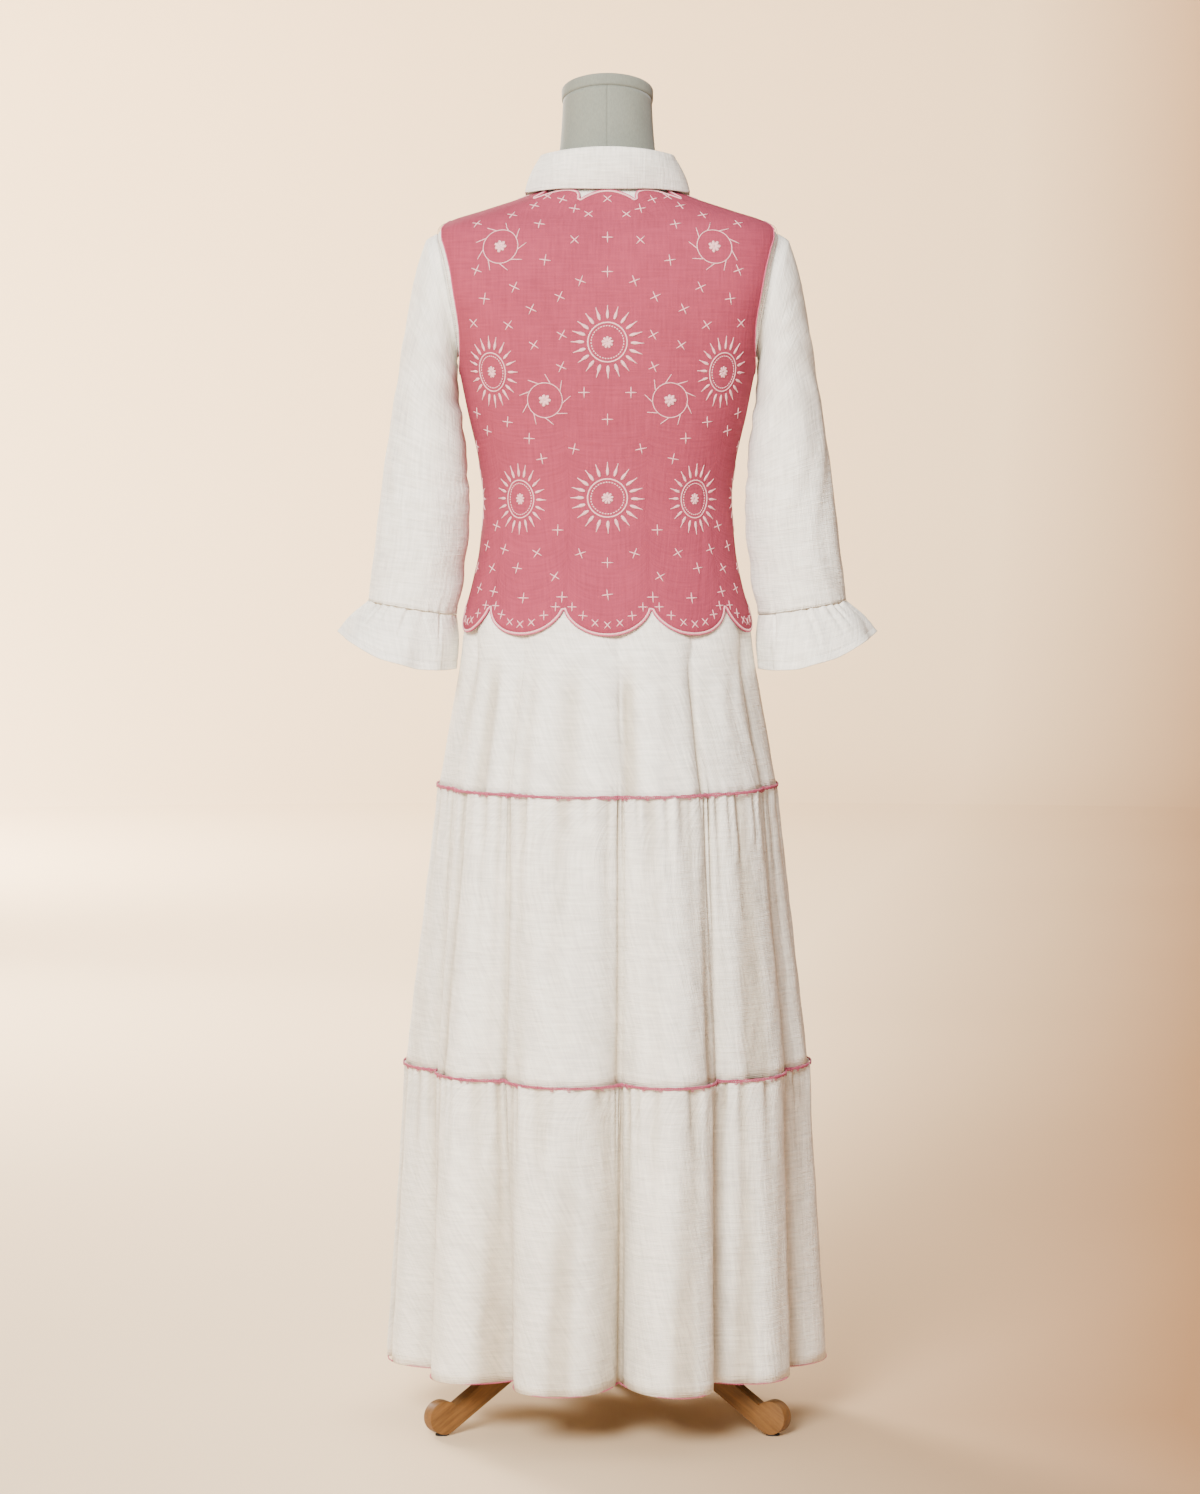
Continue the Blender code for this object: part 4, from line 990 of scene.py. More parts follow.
def spun_thread(name, colour, twist, sheen):
    """Stranded cotton: strands twisted across the thread, with painted highlight on the strands and painted
    shade in the grooves between them.
    """
    material, tree, shader = new_material(
        name, colour, 0.78, Sheen_Weight=sheen, Sheen_Roughness=0.4, Specular_IOR_Level=0.3)
    uv = node(tree, "ShaderNodeUVMap", uv_map="thread").outputs["UV"]
    turned = mapped(tree, uv, Rotation=(0.0, 0.0, math.radians(38.0)))
    strands = bands(tree, turned, math.pi / 10.0 / twist, "X", Distortion=1.0, Detail=1.0)
    # Painted highlight and shade: the twisted strands are painted lighter and the grooves between them
    # darker
    painted_strand_shade = ramp(tree, strands, shade(colour, 0.84), shade(colour, 1.06))
    feed(tree, shader, painted_strand_shade, bump=(0.5, 0.0002, strands))
    return material


def linen_jersey(name, colour):
    """Stretched grey linen jersey: fine flecks and a matt, slightly napped face."""
    material, tree, shader = new_material(
        name, colour, 0.88, Sheen_Weight=0.2, Sheen_Roughness=0.5, Specular_IOR_Level=0.2)
    place = object_place(tree)
    fleck = noise(tree, mapped(tree, place, Scale=(700.0, 700.0, 260.0)), 1.0, 3.0)
    mixed = sums(tree, "MULTIPLY_ADD", noise(tree, place, 22.0, 3.0), 0.5, fleck)
    knit = ramp(tree, mixed, shade(colour, 0.86), shade(colour, 1.1), 0.45, 1.0)
    feed(tree, shader, knit, bump=(0.5, 0.0003, fleck))
    return material


def stained_beech(name, colour):
    """Golden-brown stained beech under satin varnish: long grain with short darker flecks."""
    material, tree, shader = new_material(
        name, colour, 0.5, Specular_IOR_Level=0.3, Coat_Weight=0.06, Coat_Roughness=0.4)
    grain = attribute(tree, "grain", "Vector")
    lines = noise(tree, mapped(tree, grain, Scale=(14.0, 260.0, 260.0)), 1.0, 5.0, 0.6)
    flecks = noise(tree, mapped(tree, grain, Scale=(160.0, 1300.0, 1300.0)), 1.0, 2.0)
    mixed = sums(tree, "MULTIPLY_ADD", flecks, 0.4, lines)
    wood = ramp(tree, mixed, shade(colour, 0.62), shade(colour, 1.18), 0.5, 0.92)
    feed(tree, shader, wood, ranged(tree, lines, To_Min=0.44, To_Max=0.6), bump=(0.25, 0.0002, mixed))
    return material


def corozo(name, colour):
    """Dyed corozo nut of the buttons: polished, with faint rings."""
    material, tree, shader = new_material(name, colour, 0.32)
    rings = noise(tree, object_place(tree), 900.0, 2.0)
    feed(tree, shader, ramp(tree, rings, shade(colour, 0.86), shade(colour, 1.08)))
    return material


def moulded_rubber(name, colour):
    """Black moulded rubber of the glides: matt and finely pitted."""
    material, tree, shader = new_material(name, colour, 0.7)
    pits = noise(tree, object_place(tree), 1600.0, 2.0)
    feed(tree, shader, roughness=ranged(tree, pits, To_Min=0.6, To_Max=0.85), bump=(0.4, 0.0002, pits))
    return material


def backdrop_paper(name, colour):
    """Matt seamless cream paper with painted shade: it darkens to a pinkish tan towards the right, the more
    so near the figure, as painted light fall-off and painted shadow.
    """
    material, tree, shader = new_material(name, colour, 0.95, Specular_IOR_Level=0.1)
    place = object_place(tree)
    across = node(tree, "ShaderNodeSeparateXYZ", {"Vector": place})
    away = sums(tree, "ABSOLUTE", across.outputs["Y"])
    # Painted shade: the paper is darkened towards the right and near the figure, where the light falls off
    # and the figure's shadow lies
    back = sums(tree, "MULTIPLY_ADD", away, -0.16, across.outputs["X"])
    painted_falloff = ranged(tree, back, From_Min=-0.35, From_Max=0.75)
    mixed = sums(tree, "MULTIPLY_ADD", noise(tree, place, 0.7, 1.0), 0.08, painted_falloff)
    # The darkest painted shade, a pinkish tan
    tan = (colour[0] * 0.40, colour[1] * 0.27, colour[2] * 0.18, 1.0)
    feed(tree, shader, ramp(tree, mixed, shade(colour, 1.0), tan))
    return material


def finish(name):
    """The material of that name. Each is made once, from the scene's own colours."""
    if name in bpy.data.materials:
        return bpy.data.materials[name]
    colours = bpy.context.scene.dress_colours
    keys = ("cotton", "rose", "thread", "braid")
    cotton, rose, thread, braid = (tuple(getattr(colours, key)) for key in keys)
    makers = {
        "slubby_linen_cotton": lambda: woven_cloth(name, cotton, 0.0021, 0.2, 0.6, 0.0010, 0.06),
        "rose_cotton_twill": lambda: woven_cloth(name, rose, 0.0016, 0.16, 0.6, 0.0005, 0.0),
        "pale_stranded_cotton": lambda: spun_thread(name, thread, 0.0011, 0.3),
        "rose_braid_thread": lambda: spun_thread(name, braid, 0.0010, 0.2),
        "rose_edge_thread": lambda: spun_thread(name, tuple(min(1.0, c * 1.25) for c in braid), 0.0010, 0.2),
        "rose_topstitch": lambda: spun_thread(name, tuple(c * 0.72 for c in rose), 0.0010, 0.1),
        "cotton_topstitch": lambda: spun_thread(name, tuple(c * 0.9 for c in cotton), 0.0010, 0.1),
        "grey_linen_jersey": lambda: linen_jersey(name, tuple(colours.linen)),
        "varnished_stained_beech": lambda: stained_beech(name, tuple(colours.beech)),
        "dyed_corozo": lambda: corozo(name, linear("E3BDB6")),
        "black_moulded_rubber": lambda: moulded_rubber(name, linear("1E1D1C")),
        "backdrop_paper": lambda: backdrop_paper(name, tuple(colours.backdrop)),
    }
    return makers[name]()


# Embroidery on the vest's right half: turn, height and tilt of each cross
CROSSES = (
    (44.3, 1.5062, 30), (0.0, 1.5044, 45), (28.9, 1.5029, 20), (38.7, 1.4947, 15), (15.6, 1.4916, 10),
    (7.8, 1.4845, 45), (38.8, 1.4827, 15), (46.8, 1.4718, 15), (23.2, 1.4717, 10), (0.0, 1.4566, 0),
    (10.8, 1.4536, 45), (20.2, 1.4300, 8), (41.9, 1.4185, 20), (0.0, 1.4162, 0), (9.1, 1.4053, 20),
    (30.1, 1.3981, 25), (16.2, 1.3870, 25), (40.2, 1.3852, 8), (25.7, 1.3723, 25), (46.9, 1.3568, 45),
    (34.0, 1.3535, 35), (16.5, 1.3415, 30), (26.5, 1.3295, 35), (17.6, 1.3034, 25), (9.4, 1.2728, 0),
    (62.2, 1.2487, 15), (0.0, 1.2404, 0), (42.8, 1.2378, 8), (56.9, 1.2273, 15), (33.9, 1.2179, 3),
    (14.7, 1.2049, 12), (29.4, 1.1930, -10), (78.0, 1.2080, 10),
    (59.0, 1.1094, 15), (23.0, 1.1053, 0), (67.2, 1.0845, 15), (51.3, 1.0810, 15), (32.4, 1.0772, 30),
    (12.2, 1.0768, -20), (0.0, 1.0653, 0), (42.0, 1.0578, 8), (58.7, 1.0568, 25), (23.0, 1.0481, 30),
    (67.1, 1.0316, 15), (53.9, 1.0287, 8), (0.0, 1.0264, 8), (19.1, 1.0234, 0), (36.4, 1.0217, 0),
    (79.0, 1.0560, 10),
)
# Crosses along each scallop of the hem: turn from its middle, height and tilt
HEM_CROSSES = ((0.0, 0.9913, 45), (5.0, 0.9935, 45), (10.0, 1.0015, 5), (14.6, 1.0115, 0))
# Suns: turn, height and how wide each is for its height
SUNS = (
    (0.0, 1.3327, 1.0), (45.0, 1.2980, 0.74), (0.0, 1.1448, 1.0), (42.9, 1.1434, 0.74), (94.0, 1.1430, 0.74),
    (135.0, 1.2980, 0.74), (137.1, 1.1434, 0.74),
)
WHEELS = ((33.9, 1.4459), (25.0, 1.2636), (155.0, 1.2636))


def line_stroke(radii, angle, widths, rise):
    """A stroke straight out from a pattern's middle. A stroke is across, up, half widths and rise."""
    radii = np.asarray(radii)
    return radii * math.cos(angle), radii * math.sin(angle), np.asarray(widths), rise


def ring_stroke(radius, width, start=0.0, end=360.0, count=49):
    """A stroke round a pattern's middle, or a part of one."""
    a = np.radians(np.linspace(start, end, count))
    return radius * np.cos(a), radius * np.sin(a), np.full(count, width), 0.0005


def cross_pattern(tilt, length, width):
    share = np.linspace(-0.5, 0.5, 5)
    taper = width * (1.0 - 0.45 * (2 * share) ** 4)
    angles = (math.radians(tilt), math.radians(tilt + 90.0))
    return [line_stroke(share * length, angle, taper, 0.00045) for angle in angles]


def sun_pattern(squeeze):
    """A sun: a stitched disc in a dashed and a solid ring, with 20 spear-shaped rays."""
    strokes = [ring_stroke(0.0236, 0.0010)]
    for i in range(36):
        strokes.append(ring_stroke(0.0196, 0.0008, 10.0 * i, 10.0 * i + 6.2, 4))
    for i in range(20):
        angle = math.radians(90.0 + 18.0 * i + 1.5 * math.sin(7.0 * i))
        radii = np.array([0.0276, 0.0286, 0.0306, 0.0336, 0.0362, 0.0384, 0.0409, 0.0438])
        widths = (0.0006, 0.0015, 0.0022, 0.0023, 0.0015, 0.0009, 0.0007, 0.0005)
        strokes.append(line_stroke(radii + 0.0005 * math.sin(5.0 * i + 1.0), angle, widths, 0.0006))
    for i in range(9):
        angle = 0.2 + 2 * math.pi * i / 9
        radii, widths = (0.0, 0.0035, 0.0062, 0.0071), (0.0011, 0.0019, 0.0018, 0.0010)
        strokes.append(line_stroke(radii, angle, widths, 0.0008))
    thinner = 0.25 + 0.75 * squeeze
    return [(across * squeeze, up, widths * thinner, rise) for across, up, widths, rise in strokes]


def wheel_pattern(hand):
    """A turning wheel: a ring with nine tails that leave it at a slant, and a stitched middle."""
    strokes = [ring_stroke(0.0210, 0.0006)]
    share = np.linspace(0.0, 1.0, 5)
    for i in range(9):
        angle = 2 * math.pi * i / 9 + 0.5
        slant = angle + hand * math.radians(52.0)
        across = 0.0207 * math.cos(angle) + share * 0.0140 * math.cos(slant)
        up = 0.0207 * math.sin(angle) + share * 0.0140 * math.sin(slant)
        strokes.append((across, up, 0.00065 * (1.0 - 0.3 * share**2), 0.0005))
    for i in range(7):
        longer = 1.0 + 0.12 * math.sin(3.0 * i)
        radii = np.array([0.0, 0.0033, 0.0058, 0.0072]) * longer
        strokes.append(line_stroke(radii, 2 * math.pi * i / 7, (0.0015, 0.0026, 0.0023, 0.0012), 0.0008))
    return strokes


def embroider(name, motifs, material):
    """Stitches motifs, each a turn, a height and its pattern's strokes, onto the vest as one mesh."""
    flat = [(turn, height, *stroke) for turn, height, strokes in motifs for stroke in strokes]
    counts = [len(stroke[2]) for stroke in flat]
    centres = (np.array([stroke[k] for stroke in flat], float) for k in (0, 1, 5))
    turns, heights, rises = (np.repeat(values, counts) for values in centres)
    across, up = (np.concatenate([stroke[k] for stroke in flat]) for k in (2, 3))
    turns, heights = walk_on_figure(turns, heights, across, up)
    points, normals = on_vest(turns, heights, rises * 0.45), figure_normal(turns, heights)
    ends = np.cumsum(counts)
    strokes = [(points[end - count:end], normals[end - count:end], stroke[4], stroke[5])
               for stroke, count, end in zip(flat, counts, ends)]
    return thread_object(name, strokes, material, sides=5)


def clear_of_edges(turn, height):
    """Whether a cross stays on the vest's cloth."""
    beside = armhole_turn(np.array([height]), VEST_ARMHOLE)[0]
    return (
        abs(abs(turn) - 90.0) > beside + (6.0 if beside > 0.0 else 0.0)
        and height < float(vest_neck(np.array(turn))) - 0.008
        and abs(turn) < 171.0
    )


def along_edge(turns, heights, away, distance, lift, step):
    """A line on the vest beside one of its edges, at even steps, with its normals."""
    turns, heights = slide_on_vest(turns, heights, away, distance)
    run = run_along(on_vest(turns, heights, lift))
    even = np.arange(0.0, run[-1], step)
    turns, heights = np.interp(even, run, turns), np.interp(even, run, heights)
    return on_vest(turns, heights, lift), figure_normal(turns, heights)


def dashes(line, normals, run, gap, width, rise):
    """Running stitches along a line of close, even points."""
    strokes = []
    for start in range(0, len(line) - run, run + gap):
        stop = start + run + 1
        strokes.append((line[start:stop], normals[start:stop], width, rise))
    return strokes


def level_edges(height_at):
    """Turns and heights along the vest's hem or neckline, one edge for each panel."""
    for start, end in ((-90.0, 90.0), (90.2, 179.8), (-179.8, -90.2)):
        turns = np.linspace(start, end, int((end - start) * 4))
        yield turns, height_at(turns)


def armhole_edges():
    """Turns and heights up each side of each armhole, and which way its cloth is."""
    bottom, top, _ = VEST_ARMHOLE
    angle = np.linspace(0.0, math.pi, 90)
    heights = (bottom + top) / 2 - (top - bottom) / 2 * np.cos(angle)
    heights[0], heights[-1] = bottom + 1e-6, top - 1e-6
    edge = armhole_turn(heights, VEST_ARMHOLE)
    for side in (-1.0, 1.0):
        for facing in (-1.0, 1.0):
            yield side * (90.0 + facing * edge), heights, side * facing


def zigzag_stroke(line, normals, along, start, height):
    """One of a braid's two threads: a closed wave that also goes in and out."""
    phase = along / along[-1] * round(along[-1] / BRAID_WAVE) * 2 * np.pi + start
    uneven = 0.75 + 0.25 * ripple(along, 0.0137)
    rise = height * 0.36 * np.sin(phase) * uneven
    path = line + UPWARDS * rise[:, None] + normals * (0.0026 + 0.0005 * np.cos(phase))[:, None]
    path[-1] = path[0]
    return path[::2], normals[::2], 0.0008, 0.0006


def loop_stroke(line, normals, at):
    """A small loop of thread that hangs out of a braid."""
    a = np.linspace(0.15, 2 * np.pi - 0.15, 9)
    across = unit((line[at + 8] - line[at])[None])[0]
    loop = line[at] + normals[at] * 0.0029 + np.outer(0.0016 * np.sin(a), across)
    loop = loop - np.outer(0.0014 + 0.0026 * (1 - np.cos(a)) / 2, UPWARDS)
    return loop, np.broadcast_to(normals[at], loop.shape), 0.00045, 0.00045


def cotton_cloth():
    """The dress's cloth, as make_cloth takes it."""
    return CLOTH, finish("slubby_linen_cotton"), "slub_cotton"


def body_panels(levels, columns, armhole, edges, place):
    """Grids of a back and a right front that meet at the side, and the front's turns and heights."""
    turns, heights = panel_grid(levels, -90.0, 90.0, 2 * columns, armhole, *edges)
    back = place(turns, heights)
    back[:, (0, -1), 1] -= SEAM_GAP
    turns, heights = panel_grid(levels, 90.0, 180.0, columns, armhole, *edges)
    front = place(turns, heights)
    front[:, 0, 1] += SEAM_GAP
    front[:, -1, 0] = SEAM_GAP
    return back, front, turns, heights


def both_halves(half):
    """A band over the centre front from its right half."""
    half[:, -1, 0] = 0.0
    return np.concatenate([half, mirrored_grid(half)[:, 1:]], axis=1)


class DRESS_OT_skirt(bpy.types.Operator):
    """Makes the three gathered tiers of the skirt"""

    bl_idname = "dress.make_skirt"
    bl_label = "Skirt tiers"

    def execute(self, context):
        sizes = context.scene.dress_sizes
        second = tier_grid(UPPER_SEAM_HEIGHT, LOWER_SEAM_HEIGHT + SEAM_GAP, LOWER_TIER_COLUMNS, sizes, 0.0)
        third = tier_grid(LOWER_SEAM_HEIGHT, HEM_HEIGHT, LOWER_TIER_COLUMNS, sizes, 3.1)
        tiers = (
            ("skirt_first_tier", first_tier_grid(FIRST_TIER_COLUMNS, sizes), 1, "bodice_back"),
            ("skirt_second_tier", second, 2, "skirt_first_tier"),
            ("skirt_third_tier", third, 3, "skirt_second_tier"),
        )
        for name, (grid, hollow), number, above in tiers:
            nodes = (f"tier_{number}_back", f"tier_{number}_front")
            make_cloth(name, grid, cotton_cloth(), nodes, closed=True, hollow=hollow)
        return {"FINISHED"}


class DRESS_OT_braids(bpy.types.Operator):
    """Sews the zigzag braids over the tiers' seams and the pink stitches round the hem"""

    bl_idname = "dress.make_braids"
    bl_label = "Braids and hem stitches"

    def execute(self, context):
        braid_height = context.scene.dress_sizes.braid_height
        thread = finish("rose_braid_thread")
        for name, height, node_name in (("upper_braid", UPPER_SEAM_HEIGHT, "braid_upper"),
                                        ("lower_braid", LOWER_SEAM_HEIGHT, "braid_lower")):
            line, normals = skirt_line(height, BRAID_COLUMNS)
            along = run_along(line)
            strokes = [zigzag_stroke(line, normals, along, start, braid_height) for start in (0.0, np.pi)]
            count = int(along[-1] / LOOP_SPACING)
            for i in range(count):
                at = int((i + 0.35 * math.sin(3.0 * i)) * len(line) / count) % (len(line) - 12)
                strokes.append(loop_stroke(line, normals, at))
            made = thread_object(name, strokes, thread, sides=5)
            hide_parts(node_name)
        line, normals = skirt_line(HEM_HEIGHT, HEM_COLUMNS)
        along = run_along(line)
        phase = along / along[-1] * round(along[-1] / HEM_WAVE) * 2 * np.pi
        path = line + UPWARDS * (0.0003 + 0.0009 * np.sin(phase))[:, None]
        path = path + normals * (0.0004 * np.cos(phase) - 0.0001)[:, None]
        path[-1] = path[0]
        stitches = [(path, normals, 0.0005, 0.0005)]
        made = thread_object("hem_stitches", stitches, finish("rose_edge_thread"), sides=5)
        return {"FINISHED"}


class DRESS_OT_bodice(bpy.types.Operator):
    """Makes the dress's bodice and its short front placket"""

    bl_idname = "dress.make_bodice"
    bl_label = "Bodice"

    def execute(self, context):
        cotton = cotton_cloth()
        levels = panel_levels(24, 36, 16)
        edges = (waist_height, neckline_height)
        back, front, _, _ = body_panels(levels, 45, ARMHOLE, edges, on_bodice)
        make_cloth("bodice_back_panel", back, cotton, ("bodice_back",))
        make_cloth("bodice_right_front", front, cotton, ("bodice_front_right",))
        make_cloth("bodice_left_front", mirrored_grid(front), cotton, ("bodice_front_left",))
        turns, heights = panel_grid(levels[levels > 1.86], 90.0, 180.0, 48, ARMHOLE, *edges)
        placket = both_halves(on_figure(turns, heights, BODICE_LIFT + SEAM_GAP + CLOTH)[:, -5:])
        make_cloth("shirt_placket", placket, cotton, ("front_placket",))
        return {"FINISHED"}


class DRESS_OT_sleeves(bpy.types.Operator):
    """Makes both sleeves and their gathered ruffles, with the hems' topstitching"""

    bl_idname = "dress.make_sleeves"
    bl_label = "Sleeves and ruffles"

    def execute(self, context):
        sizes = context.scene.dress_sizes
        cotton = cotton_cloth()
        sleeve, ruffle = sleeve_grid(SLEEVE_COLUMNS, sizes), ruffle_grid(RUFFLE_COLUMNS, sizes)
        left = (mirrored_grid(sleeve, True), mirrored_grid(ruffle, True))
        for side, arm, cuff in (("right", sleeve, ruffle), ("left", *left)):
            make_cloth(f"{side}_sleeve", arm, cotton, (f"sleeve_{side}",),
                       closed=True)
            make_cloth(f"{side}_ruffle", cuff, cotton, (f"ruffle_{side}",),
                       closed=True)
            ring = closed_line(cuff[STITCH_ROW])
            normals = closed_line(orient(cuff, grid_normals(cuff, closed=True))[STITCH_ROW])
            run = run_along(ring)
            even = np.arange(0.0, run[-1], 0.0009)
            path, facing = (np.stack([np.interp(even, run, values[:, k]) for k in range(3)], axis=-1)
                            for values in (ring, normals))
            facing = unit(facing)
            strokes = dashes(path + facing * 0.0001, facing, 2, 1, 0.00035, 0.0003)
            made = thread_object(f"{side}_ruffle_topstitch", strokes, finish("cotton_topstitch"), sides=4)
        return {"FINISHED"}


class DRESS_OT_collar(bpy.types.Operator):
    """Makes the shirt collar: a stand, and a fall that turns over it"""

    bl_idname = "dress.make_collar"
    bl_label = "Collar"

    def execute(self, context):
        stand, fall = collar_grids()
        make_cloth("collar_band", stand, cotton_cloth(), ("collar_stand",))
        make_cloth("collar_leaf", fall, cotton_cloth(), ("collar_fall",))
        return {"FINISHED"}


class DRESS_OT_vest(bpy.types.Operator):
    """Makes the vest's back, fronts and front band"""

    bl_idname = "dress.make_vest"
    bl_label = "Vest"

    def execute(self, context):
        rose = finish("rose_cotton_twill")
        twill, thin_twill = ((thickness, rose, "rose_twill") for thickness in (VEST_CLOTH, CLOTH))
        levels = panel_levels(38, 40, 20)
        edges = (vest_hem, vest_neck)
        back, front, turns, heights = body_panels(levels, 100, VEST_ARMHOLE, edges, on_vest)
        make_cloth("vest_back_panel", back, twill, ("vest_back",))
        make_cloth("vest_right_front", front, twill, ("vest_front_right",))
        make_cloth("vest_left_front", mirrored_grid(front), twill, ("vest_front_left",))
        band = both_halves(on_vest(turns, heights, 2 * SEAM_GAP + CLOTH)[:, -9:])
        make_cloth("vest_button_band", band, thin_twill, ("vest_front_band",))
        return {"FINISHED"}


class DRESS_OT_embroidery(bpy.types.Operator):
    """Embroiders the vest's suns, wheels and crosses, and edges its scallops"""

    bl_idname = "dress.embroider_vest"
    bl_label = "Embroidery and edge stitches"

    def execute(self, context):
        sizes = context.scene.dress_sizes
        pale = finish("pale_stranded_cotton")
        length, width = sizes.cross_length, sizes.thread_width / 2
        suns, wheels, crosses = [], [], []
        for side in (1.0, -1.0):
            for turn, height, squeeze in SUNS:
                if side > 0.0 or turn > 0.0:
                    suns.append((side * turn, height, sun_pattern(squeeze)))
            wheels += [(side * turn, height, wheel_pattern(-side)) for turn, height in WHEELS]
            for turn, height, tilt in CROSSES:
                places = [side * turn] if side > 0.0 or turn > 0.0 else []
                places += [side * (180.0 - turn)] if turn > 9.0 else []
                pattern = cross_pattern(side * tilt, length, width)
                crosses += [(place, height, pattern) for place in places if clear_of_edges(place, height)]
        for middle in range(-144, 181, int(SCALLOP_TURN)):
            for away, height, tilt in HEM_CROSSES:
                for side in (1.0, -1.0) if away else (1.0,):
                    place = (middle + side * away + 180.0) % 360.0 - 180.0
                    if abs(place) < 172.0:
                        crosses.append((place, height, cross_pattern(side * tilt, length * 0.8, width)))
        embroider("sun_embroidery", suns, pale)
        embroider("wheel_embroidery", wheels, pale)
        embroider("cross_embroidery", crosses, pale)

        cords, fuzz, topstitch = [], [], []
        for edges, away in ((level_edges(vest_hem), 1.0), (level_edges(vest_neck), -1.0)):
            for turns, heights in edges:
                cords.append((*along_edge(turns, heights, away, 0.0024, 0.0003, 0.0016), 0.00115, 0.0007))
                line, normals = along_edge(turns, heights, away, 0.0009, -0.0001, 0.0007)
                wave = 0.0003 * np.sin(np.arange(len(line)) * np.pi / 1.5)
                fuzz.append((line + normals * wave[:, None], normals, 0.0011 + wave, 0.0007))
        for turns, heights, away in armhole_edges():
            line, normals = along_edge(turns, heights, away, 0.0074, 0.0001, 0.0009)
            topstitch += dashes(line, normals, 2, 1, 0.0004, 0.0003)
            fuzz.append((*along_edge(turns, heights, away, 0.0006, 0.0001, 0.0012), 0.0009, 0.0008))
        thread_object("scallop_cords", cords, pale)
        thread_object("edge_stitches", fuzz, finish("rose_edge_thread"), sides=4)
        thread_object("armhole_topstitch", topstitch, finish("rose_topstitch"), sides=4)
        return {"FINISHED"}


def add_cylinder(name, vertices, radius, depth, location=(0.0, 0.0, 0.0), rotation=(0.0, 0.0, 0.0)):
    bpy.ops.object.select_all(action="DESELECT")
    bpy.ops.mesh.primitive_cylinder_add(
        vertices=vertices, radius=radius, depth=depth, location=location, rotation=rotation)
    made = bpy.context.object
    made.name = name
    return made


def add_turned(name, vertices, radius, length, middle_height):
    """Adds an upright cylinder on the form's axis, with its place in its mesh."""
    made = add_cylinder(name, vertices, radius, length, (0.0, 0.0, middle_height))
    bpy.ops.object.transform_apply(location=True, rotation=False, scale=False)
    return made


def select_faces(made, test):
    """Goes into edit mode with the faces selected whose centre and normal pass the test."""
    if made.mode == "EDIT":
        bpy.ops.object.mode_set(mode="OBJECT")
    select_only(made)
    bpy.ops.object.mode_set(mode="EDIT")
    bpy.ops.mesh.select_mode(type="FACE")
    bpy.ops.mesh.select_all(action="DESELECT")
    bpy.ops.object.mode_set(mode="OBJECT")
    for face in made.data.polygons:
        face.select = test(face.center, face.normal)
    bpy.ops.object.mode_set(mode="EDIT")


def extrude_end(rise, scale):
    """Extrudes the selected end of an upright piece along Z and scales it about the pole."""
    bpy.ops.mesh.extrude_region_move(TRANSFORM_OT_translate={"value": (0.0, 0.0, rise)})
    bpy.ops.transform.resize(value=(scale, scale, 1.0), center_override=(0.0, 0.0, 0.0))


def round_rims(made, width, segments=3, angle=35.0):
    limit = math.radians(angle)
    apply_modifier(made, "BEVEL", width=width, segments=segments, limit_method="ANGLE", angle_limit=limit)
    select_only(made)
    bpy.ops.object.shade_smooth_by_angle(angle=math.radians(32.0))


def set_grain(made, along, shift):
    """Stores where each point is in the wood, with the grain along the first axis."""
    frame_of = Vector((1.0, 0.0, 0.0)).rotation_difference(Vector(along)).to_matrix().inverted()
    grain = made.data.attributes.new("grain", "FLOAT_VECTOR", "POINT")
    for point, vertex in zip(grain.data, made.data.vertices):
        point.vector = frame_of @ vertex.co + Vector(shift)


def copied(source, name, matrix):
    """A copy with its own mesh, placed in that mesh."""
    made = bpy.data.objects.new(name, source.data.copy())
    made.data.name = name
    made.data.transform(matrix)
    bpy.context.scene.collection.objects.link(made)
    return made


def finish_part(made, material, nodes):
    """Puts a hard piece's place in its mesh, with its material, and lets it replace its solids."""
    select_only(made)
    bpy.ops.object.transform_apply(location=True, rotation=True, scale=True)
    made.data.name = made.name
    made.data.materials.clear()
    made.data.materials.append(material)
    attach(made, "root")
    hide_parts(*nodes)


